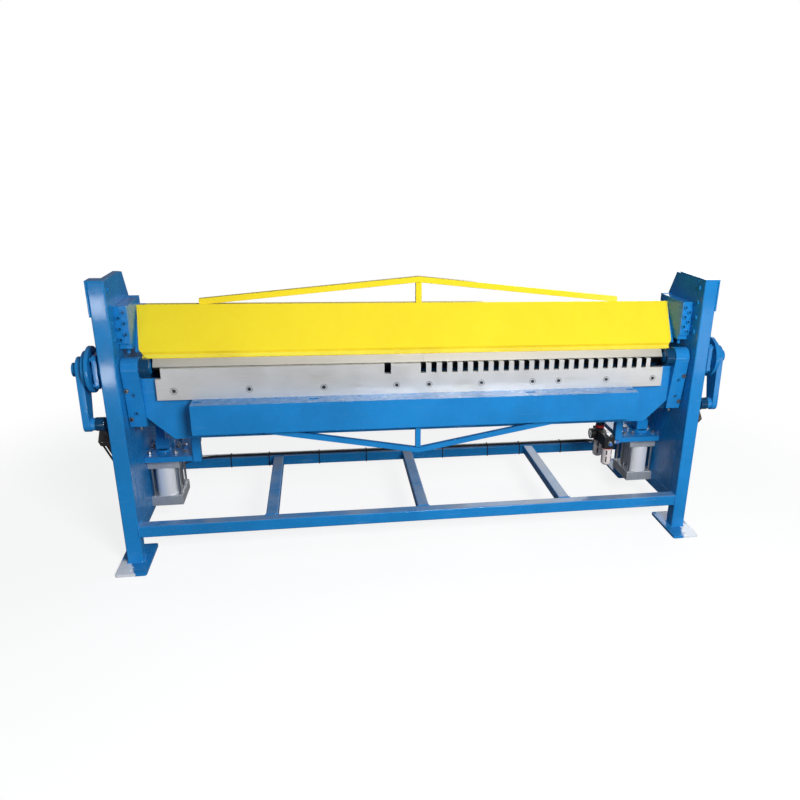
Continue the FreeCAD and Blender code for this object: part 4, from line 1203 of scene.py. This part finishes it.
class DressScrews(bpy.types.Operator):
    """Finish the screws and bolts"""
    bl_idname = "folder.screws"
    bl_label = "Screws"

    def execute(self, context):
        sunk = 0.0019
        screw("guide_screws", "guide_cap_screws", screw_rows("guide_screws", 1), "blue")
        rows = [(foot + aim * sunk, aim, radius * 0.9)
                for foot, aim, radius in screw_rows("blade_screws", 1)]
        screw("blade_screws", "blade_cap_screws", rows, "zinc", 1.25)
        self.add_seats(rows)
        post_rows = [(mm(side * POST_INSIDE, 42, height), (-side, 0, 0))
                     for side in SIDES for height in (1128, 1065, 1002, 939)]
        grown("post_cap_screws", "Cap screws", points_mesh(post_rows), "blue", "frame",
              Radius=0.0085, Height=0.006, Socket=0.004, Depth=0.003)
        screw("bearing_bolts", "bearing_cap_screws", screw_rows("bearing_bolts", 0), "blue")
        self.add_arm_bolts()
        return {"FINISHED"}

    def add_seats(self, rows):
        """Bright counterbores with dark rims, painted shadow lines, round the blade screws"""
        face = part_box("left_blade")[0][1]
        for name, material, profile in (
                ("blade_seat_shadow_rims", "black steel and painted shade",
                 [(12.4, -0.3), (13.7, -0.3), (13.7, 0.3), (12.4, 0.3)]),
                ("blade_seats", "jaw", [(8.3, -0.3), (12.4, -0.3), (12.4, 0.4), (8.6, 0.4)])):
            turned_piece(name, material, "apron", [
                (Vector((foot.x, face, foot.z)), aim, profile, 32, True)
                for foot, aim, _ in rows])

    def add_arm_bolts(self):
        """The arms' screws in two rows, and the studs that hang below the arms"""
        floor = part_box("apron_box")[0][2]
        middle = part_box("right_fold_arm")[1][0] - 0.02
        heads = [row for row in screw_rows("arm_bolts", 1) if row[0].z > floor]
        screw("arm_bolts", "arm_cap_screws",
              [row for row in heads if abs(row[0].x) < middle], "blue")
        screw("arm_bolts", "arm_stud_screws",
              [row for row in heads if abs(row[0].x) > middle], "zinc")
        studs = []
        for low, high in part_boxes("arm_bolts"):
            if high.z <= floor + 0.02:
                radius = (high.x - low.x) * 500
                length = (high.z - low.z) * 1000
                top = (low + high) / 2
                top.z = high.z
                studs.append((top, -UP, [
                    (radius - 1, 0), (radius - 1, length - 8), (radius, length - 8),
                    (radius, length - 1), (radius - 1.5, length)], 24))
        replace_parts(turned_piece("arm_low_studs", "zinc", "apron", studs), "arm_bolts")


class DressWelds(bpy.types.Operator):
    """Lay weld beads along the joints of the frame"""
    bl_idname = "folder.welds"
    bl_label = "Weld beads"

    def execute(self, context):
        places = []
        edges = []
        for path in self.paths():
            first = len(places)
            places.extend(path)
            edges.extend((first + k, first + k + 1) for k in range(len(path) - 1))
        mesh = bpy.data.meshes.new("weld_lines")
        mesh.from_pydata(places, edges, [])
        sizes = settings("welds")
        grown("frame_welds", "Weld bead", mesh, "blue", "frame", Radius=sizes.radius,
              Pitch=sizes.pitch)
        return {"FINISHED"}

    def loop(self, low, high, level):
        """A level rectangle round a box, as a closed path"""
        return [Vector((x, y, level)) for x, y in (
            (low.x, low.y), (high.x, low.y), (high.x, high.y), (low.x, high.y),
            (low.x, low.y))]

    def paths(self):
        """Lines where the frame's pieces meet"""
        lines = []
        for name in both_sides("post") + both_sides("rear_leg"):
            low, high = corners_of(name)
            lines.append(self.loop(low, high, low.z))
        for side in SIDES:
            inside = side * POST_INSIDE
            lines.append([mm(inside, 60, 105), mm(inside, 60, 165),
                          mm(side * POST_OUTSIDE, 60, 165)])
            for front, back in ((0, 50), (750, 700)):
                lines.append([mm(inside, y, z) for y, z in (
                    (front, 124), (front, 174), (back, 174), (back, 124))])
            lines.append(self.loop(mm(side * 959.5 - 17.5, 225, 560),
                                   mm(side * 959.5 + 17.5, 265, 560), 0.56))
            lines.append([mm(inside, y, z) for y, z in (
                (172, 780), (172, 560), (292, 560), (292, 780))])
        for middle in (-650, 0, 650):
            for edge in (50, 700):
                lines.append([mm(middle + x, edge, z) for x, z in (
                    (-25, 134), (-25, 174), (25, 174), (25, 134))])
        return lines


class DressAirUnit(bpy.types.Operator):
    """Finish the air unit, its gauge and its knob"""
    bl_idname = "folder.air_unit"
    bl_label = "Air unit"

    def execute(self, context):
        dress("black", "air_unit_body")
        dress("guard", "air_unit_bowls")
        dress("black", "regulator_knob", "gauge_case", width=KNOB_EDGE)
        dress("black", "gauge_needle", width=NEEDLE_EDGE)
        self.add_body_details()
        self.add_bowl_slots()
        self.add_knob()
        self.add_dial()
        return {"FINISHED"}

    def add_body_details(self):
        """Clamp band between the two bodies, end plates, plugs and a push-in fitting"""
        bands = bmesh.new()
        for front, back in ((203, 211), (282, 293), (364, 372)):
            block_between(bands, mm(883, front, 345), mm(932, back, 398), 0.0012)
        for middle in BOWLS:
            turned(bands, mm(UNIT_MIDDLE, middle, 338), UP, [(25.5, 0), (26, 1), (26, 8), (23, 9)])
        closed_piece("air_unit_bands", bands, "black", "frame")
        ring = [(24.2, 0), (26, 0.5), (26, 2.5), (24.2, 3)]
        turned_piece("bowl_lock_rings", "red", "frame", [
            (mm(UNIT_MIDDLE, middle, 335), UP, ring, 32, True) for middle in BOWLS])
        turned_piece("air_unit_plugs", "zinc", "frame", [
            (mm(914, 254, 394), UP, [(12, 0), (12, 9), (9, 10), (9, 12)], 6),
            (mm(UNIT_MIDDLE, 226, 395), UP, [(13, 0), (13, 8), (11, 11), (6, 12)]),
            (mm(930, 214, 368), (1, 0, 0), [(10, 0), (10, 8)], 6),
            (mm(UNIT_MIDDLE, 205, 367), (0, -1, 0), [(12, 0), (12, 9), (8, 10)], 6)])
        turned_piece("air_unit_fittings", "blue fitting", "frame", [
            (mm(938, 214, 368), (1, 0, 0),
             [(9, 0), (9.5, 1), (9.5, 14), (11, 15), (11, 20), (7, 22)]),
            (mm(UNIT_MIDDLE, 195, 367), (0, -1, 0), [(8, 0), (8.5, 1), (8.5, 9), (6, 11)])])

    def add_bowl_slots(self):
        """Dark windows round the two bowl guards: black bars as painted shade inside the slots"""
        turn = Matrix.Rotation(math.radians(-112), 4, "Z")
        for number, middle in enumerate(BOWLS):
            for row, (level, height) in enumerate(((318, 22), (284, 28))):
                bars("bowl_slots_%d_%d" % (number, row), "frame",
                     Matrix.Translation(mm(UNIT_MIDDLE, middle, level)) @ turn,
                     5, 5, 0.0238, (0.0016, 0.0058, height / 1000))

    def add_knob(self):
        """Grip ribs round the knob, and its red lock ring"""
        low, high = corners_of("regulator_knob")
        middle = (low + high) / 2
        bars("knob_ribs", "knob",
             Matrix.Translation(Vector((middle.x, middle.y, high.z - 0.014))),
             28, 28, (high.x - low.x) / 2, (0.0012, 0.0016, 0.018))
        turned_piece("knob_lock_ring", "red", "knob", [
            (Vector((middle.x, middle.y, low.z - 0.003)), UP,
             [(20.5, 0), (22, 1), (22, 11), (20.5, 12)], 48)])

    def add_dial(self):
        """The gauge's white dial, its ticks and numbers, and its glass"""
        middle = mm(866, 345, 367.5)
        print_level = Matrix.Translation(middle - Vector((0.0003, 0, 0)))
        facing = Matrix(((0, 0, -1), (-1, 0, 0), (0, 1, 0))).to_4x4()
        turned_piece("gauge_dial", "dial", "frame", [
            (middle + Vector((0.0008, 0, 0)), (-1, 0, 0),
             [(21.4, 0), (21.4, 0.9), (21.0, 1.0)], 48)])
        start = Matrix.Rotation(math.radians(-135), 4, "Z")
        turn = Matrix.Rotation(math.radians(-90), 4, "Y")
        bars("gauge_ticks", "frame", print_level @ turn @ start, 36, 28, 0.0178,
             (0.0042, 0.0007, 0.0003))
        numbers = bmesh.new()
        for count in range(6):
            angle = math.radians(225 - 54 * count)
            text = bpy.data.curves.new("number", "FONT")
            text.body = str(count * 2)
            text.size = 0.0072
            text.extrude = 0.0001
            text.align_x = "CENTER"
            text.align_y = "CENTER"
            holder = placed("number", text)
            mesh = plain_mesh(holder)
            bpy.data.objects.remove(holder)
            beside = Vector((math.cos(angle), math.sin(angle), 0)) * 0.0122
            mesh.transform(print_level @ facing @ Matrix.Translation(beside))
            numbers.from_mesh(mesh)
        new_piece("gauge_numbers", numbers, ["black"], "frame")
        turned_piece("gauge_glass", "glass", "frame", [
            (mm(862.6, 345, 367.5), (-1, 0, 0), [(21.6, 0), (21.6, 0.8), (21.2, 1.0)], 48)])


class DressHose(bpy.types.Operator):
    """Finish the air hoses and their ties"""
    bl_idname = "folder.hose"
    bl_label = "Hoses and ties"

    def execute(self, context):
        dress("tie", "air_hose", width=0.0)
        dress("hose", "return_hose", width=0.0)
        dress("tie", "hose_ties", width=TIE_EDGE)
        return {"FINISHED"}


class BuildStage(bpy.types.Operator):
    """Lay the floor and set the camera and the lamps"""
    bl_idname = "folder.stage"
    bl_label = "Stage"

    def execute(self, context):
        build_floor()
        build_camera()
        build_light()
        return {"FINISHED"}


OPERATORS = (
    DressPosts, DressSideFrames, DressRails, DressBed, DressClampBeam, DressSlides,
    DressClampCylinders, DressApron, DressArms, DressFoldingCylinders, DressScrews,
    DressWelds, DressAirUnit, DressHose, BuildStage,
)


# Stage

CAMERA_PLACE = (-0.40389, -3.25503, 1.63448)
CAMERA_HEADING = 0.197507
CAMERA_DIP = 0.360025
CAMERA_ROLL = 0.030502
CAMERA_SHIFT = (-0.0827, 0.0408)
SENSOR_WIDTH = 36
FLOOR_REACH = 30
FLOOR_FADE = (1.7, 2.9)  # where the shadowed floor turns to plain white
FLOOR_MIRRORED = 0.04
FLOOR_BOUNCE = 0.15
LAMPS_ON_FLOOR = 0.75
# Name, place, target, size, and the setting and the share of it that give the power
LAMPS = (
    ("Key", (0.9, -3.7, 2.3), (0.2, 0, 0.7), (1.3, 1.3), "key", 1.0),
    ("Glint", (-1.78, -2.4, 0.24), (-1.21, -0.38, 0.95), (0.14, 0.12), "key", 0.010),
    ("Glint", (-1.78, -2.4, 0.68), (-1.21, -0.38, 0.95), (0.14, 0.12), "key", 0.010),
    ("Side", (2.3, -2.7, 0.35), (0.9, -0.3, 0.75), (1.2, 0.5), "key", 0.036),
    ("Back", (2.7, 3.6, 2.3), (0, 0, 0.5), (3.6, 1.6), "back", 1.0),
)


def build_camera():
    """The camera at the photograph's place and angle."""
    data = bpy.data.cameras.new("Camera")
    data.sensor_width = SENSOR_WIDTH
    data.lens = settings("stage").lens
    data.shift_x, data.shift_y = CAMERA_SHIFT
    level = (Matrix.Rotation(-CAMERA_HEADING, 4, "Z")
             @ Matrix.Rotation(math.pi / 2 - CAMERA_DIP, 4, "X"))
    camera = placed("Camera", data)
    camera.matrix_world = (Matrix.Translation(CAMERA_PLACE) @ level
                           @ Matrix.Rotation(CAMERA_ROLL, 4, "Z"))
    bpy.context.scene.camera = camera


def blank_tree(owner):
    """The emptied node tree of a material or a world."""
    owner.use_nodes = True
    owner.node_tree.nodes.clear()
    return owner.node_tree


def emission(tree, strength):
    return put(tree, "ShaderNodeEmission", {"Strength": strength}).outputs[0]


def mixed_shaders(share, first, second):
    return put(share.id_data, "ShaderNodeMixShader",
               {0: share, 1: first, 2: second}).outputs[0]


def matt_grey(tree, level):
    return put(tree, "ShaderNodeBsdfDiffuse", {"Color": (level, level, level)}).outputs[0]


def seen_whole(tree, glossy_share):
    """Share of a backdrop that a ray sees: all for camera and glass, less for reflections."""
    path = put(tree, "ShaderNodeLightPath").outputs
    return larger(larger(path["Is Camera Ray"], path["Is Transmission Ray"]),
                  times(path["Is Glossy Ray"], glossy_share))


def build_floor():
    """Pale floor that reads white to the camera and keeps the machine's shadow."""
    build = bmesh.new()
    bmesh.ops.create_circle(build, cap_ends=True, segments=96, radius=FLOOR_REACH)
    mesh = bpy.data.meshes.new("Floor")
    build.to_mesh(mesh)
    build.free()
    material = bpy.data.materials.new("Pale floor")
    tree = blank_tree(material)
    share = settings("stage").shadow
    near = put(tree, "ShaderNodeAddShader",
               {0: matt_grey(tree, share),
                1: emission(tree, 1 - share * LAMPS_ON_FLOOR)}).outputs[0]
    away = vector_math("LENGTH", put(tree, "ShaderNodeTexCoord").outputs["Object"])["Value"]
    seen = mixed_shaders(span(away, *FLOOR_FADE), near, emission(tree, 1.0))
    surface = mixed_shaders(seen_whole(tree, FLOOR_MIRRORED), matt_grey(tree, FLOOR_BOUNCE),
                            seen)
    put(tree, "ShaderNodeOutputMaterial", {"Surface": surface})
    mesh.materials.append(material)
    placed("Floor", mesh)


def area_lamp(name, place, target, size, power):
    data = bpy.data.lights.new(name, "AREA")
    data.shape = "RECTANGLE"
    data.size, data.size_y = size
    data.energy = power
    lamp = placed(name, data)
    aim = (Vector(target) - Vector(place)).to_track_quat("-Z", "Y")
    lamp.matrix_world = Matrix.Translation(place) @ aim.to_matrix().to_4x4()
    lamp.visible_camera = False


def build_light():
    """A soft box right of the camera, low side lamps, a wide lamp behind and an even sky."""
    scene = bpy.context.scene
    scene.view_settings.view_transform = "Standard"
    stage = settings("stage")
    for *given, setting, share in LAMPS:
        area_lamp(*given, getattr(stage, setting) * share)
    scene.world = bpy.data.worlds.new("Soft sky")
    tree = blank_tree(scene.world)
    even, white = (put(tree, "ShaderNodeBackground",
                       {"Color": colour, "Strength": strength}).outputs[0]
                   for colour, strength in (((0.82, 0.89, 1.0), stage.sky), ((1, 1, 1), 1.0)))
    way = split(put(tree, "ShaderNodeTexCoord").outputs["Generated"])
    behind = span(plus(way["Y"], times(way["X"], 1.6)), 0.7, 1.7, 0.04, 0.95)
    put(tree, "ShaderNodeOutputWorld",
        {"Surface": mixed_shaders(seen_whole(tree, behind), even, white)})


class FoldingMachinePanel(bpy.types.Panel):
    """Settings and steps of the folding machine"""
    bl_idname = "VIEW3D_PT_folding_machine"
    bl_label = "Folding machine"
    bl_space_type = "VIEW_3D"
    bl_region_type = "UI"
    bl_category = "Folding machine"

    def draw(self, context):
        for name in SETTINGS:
            group = settings(name)
            for key in group.__annotations__:
                self.layout.prop(group, key)
        for operator in OPERATORS:
            self.layout.operator(operator.bl_idname)


def register():
    for name, group in SETTINGS.items():
        bpy.utils.register_class(group)
        setattr(bpy.types.Scene, PREFIX + name, PointerProperty(type=group))
    for operator in OPERATORS:
        bpy.utils.register_class(operator)
    bpy.utils.register_class(FoldingMachinePanel)


def unregister():
    bpy.utils.unregister_class(FoldingMachinePanel)
    for operator in reversed(OPERATORS):
        bpy.utils.unregister_class(operator)
    for name, group in SETTINGS.items():
        delattr(bpy.types.Scene, PREFIX + name)
        bpy.utils.unregister_class(group)


def main():
    register()
    for operator in OPERATORS:
        category, name = operator.bl_idname.split(".")
        getattr(getattr(bpy.ops, category), name)()


if __name__ == "__main__":
    main()
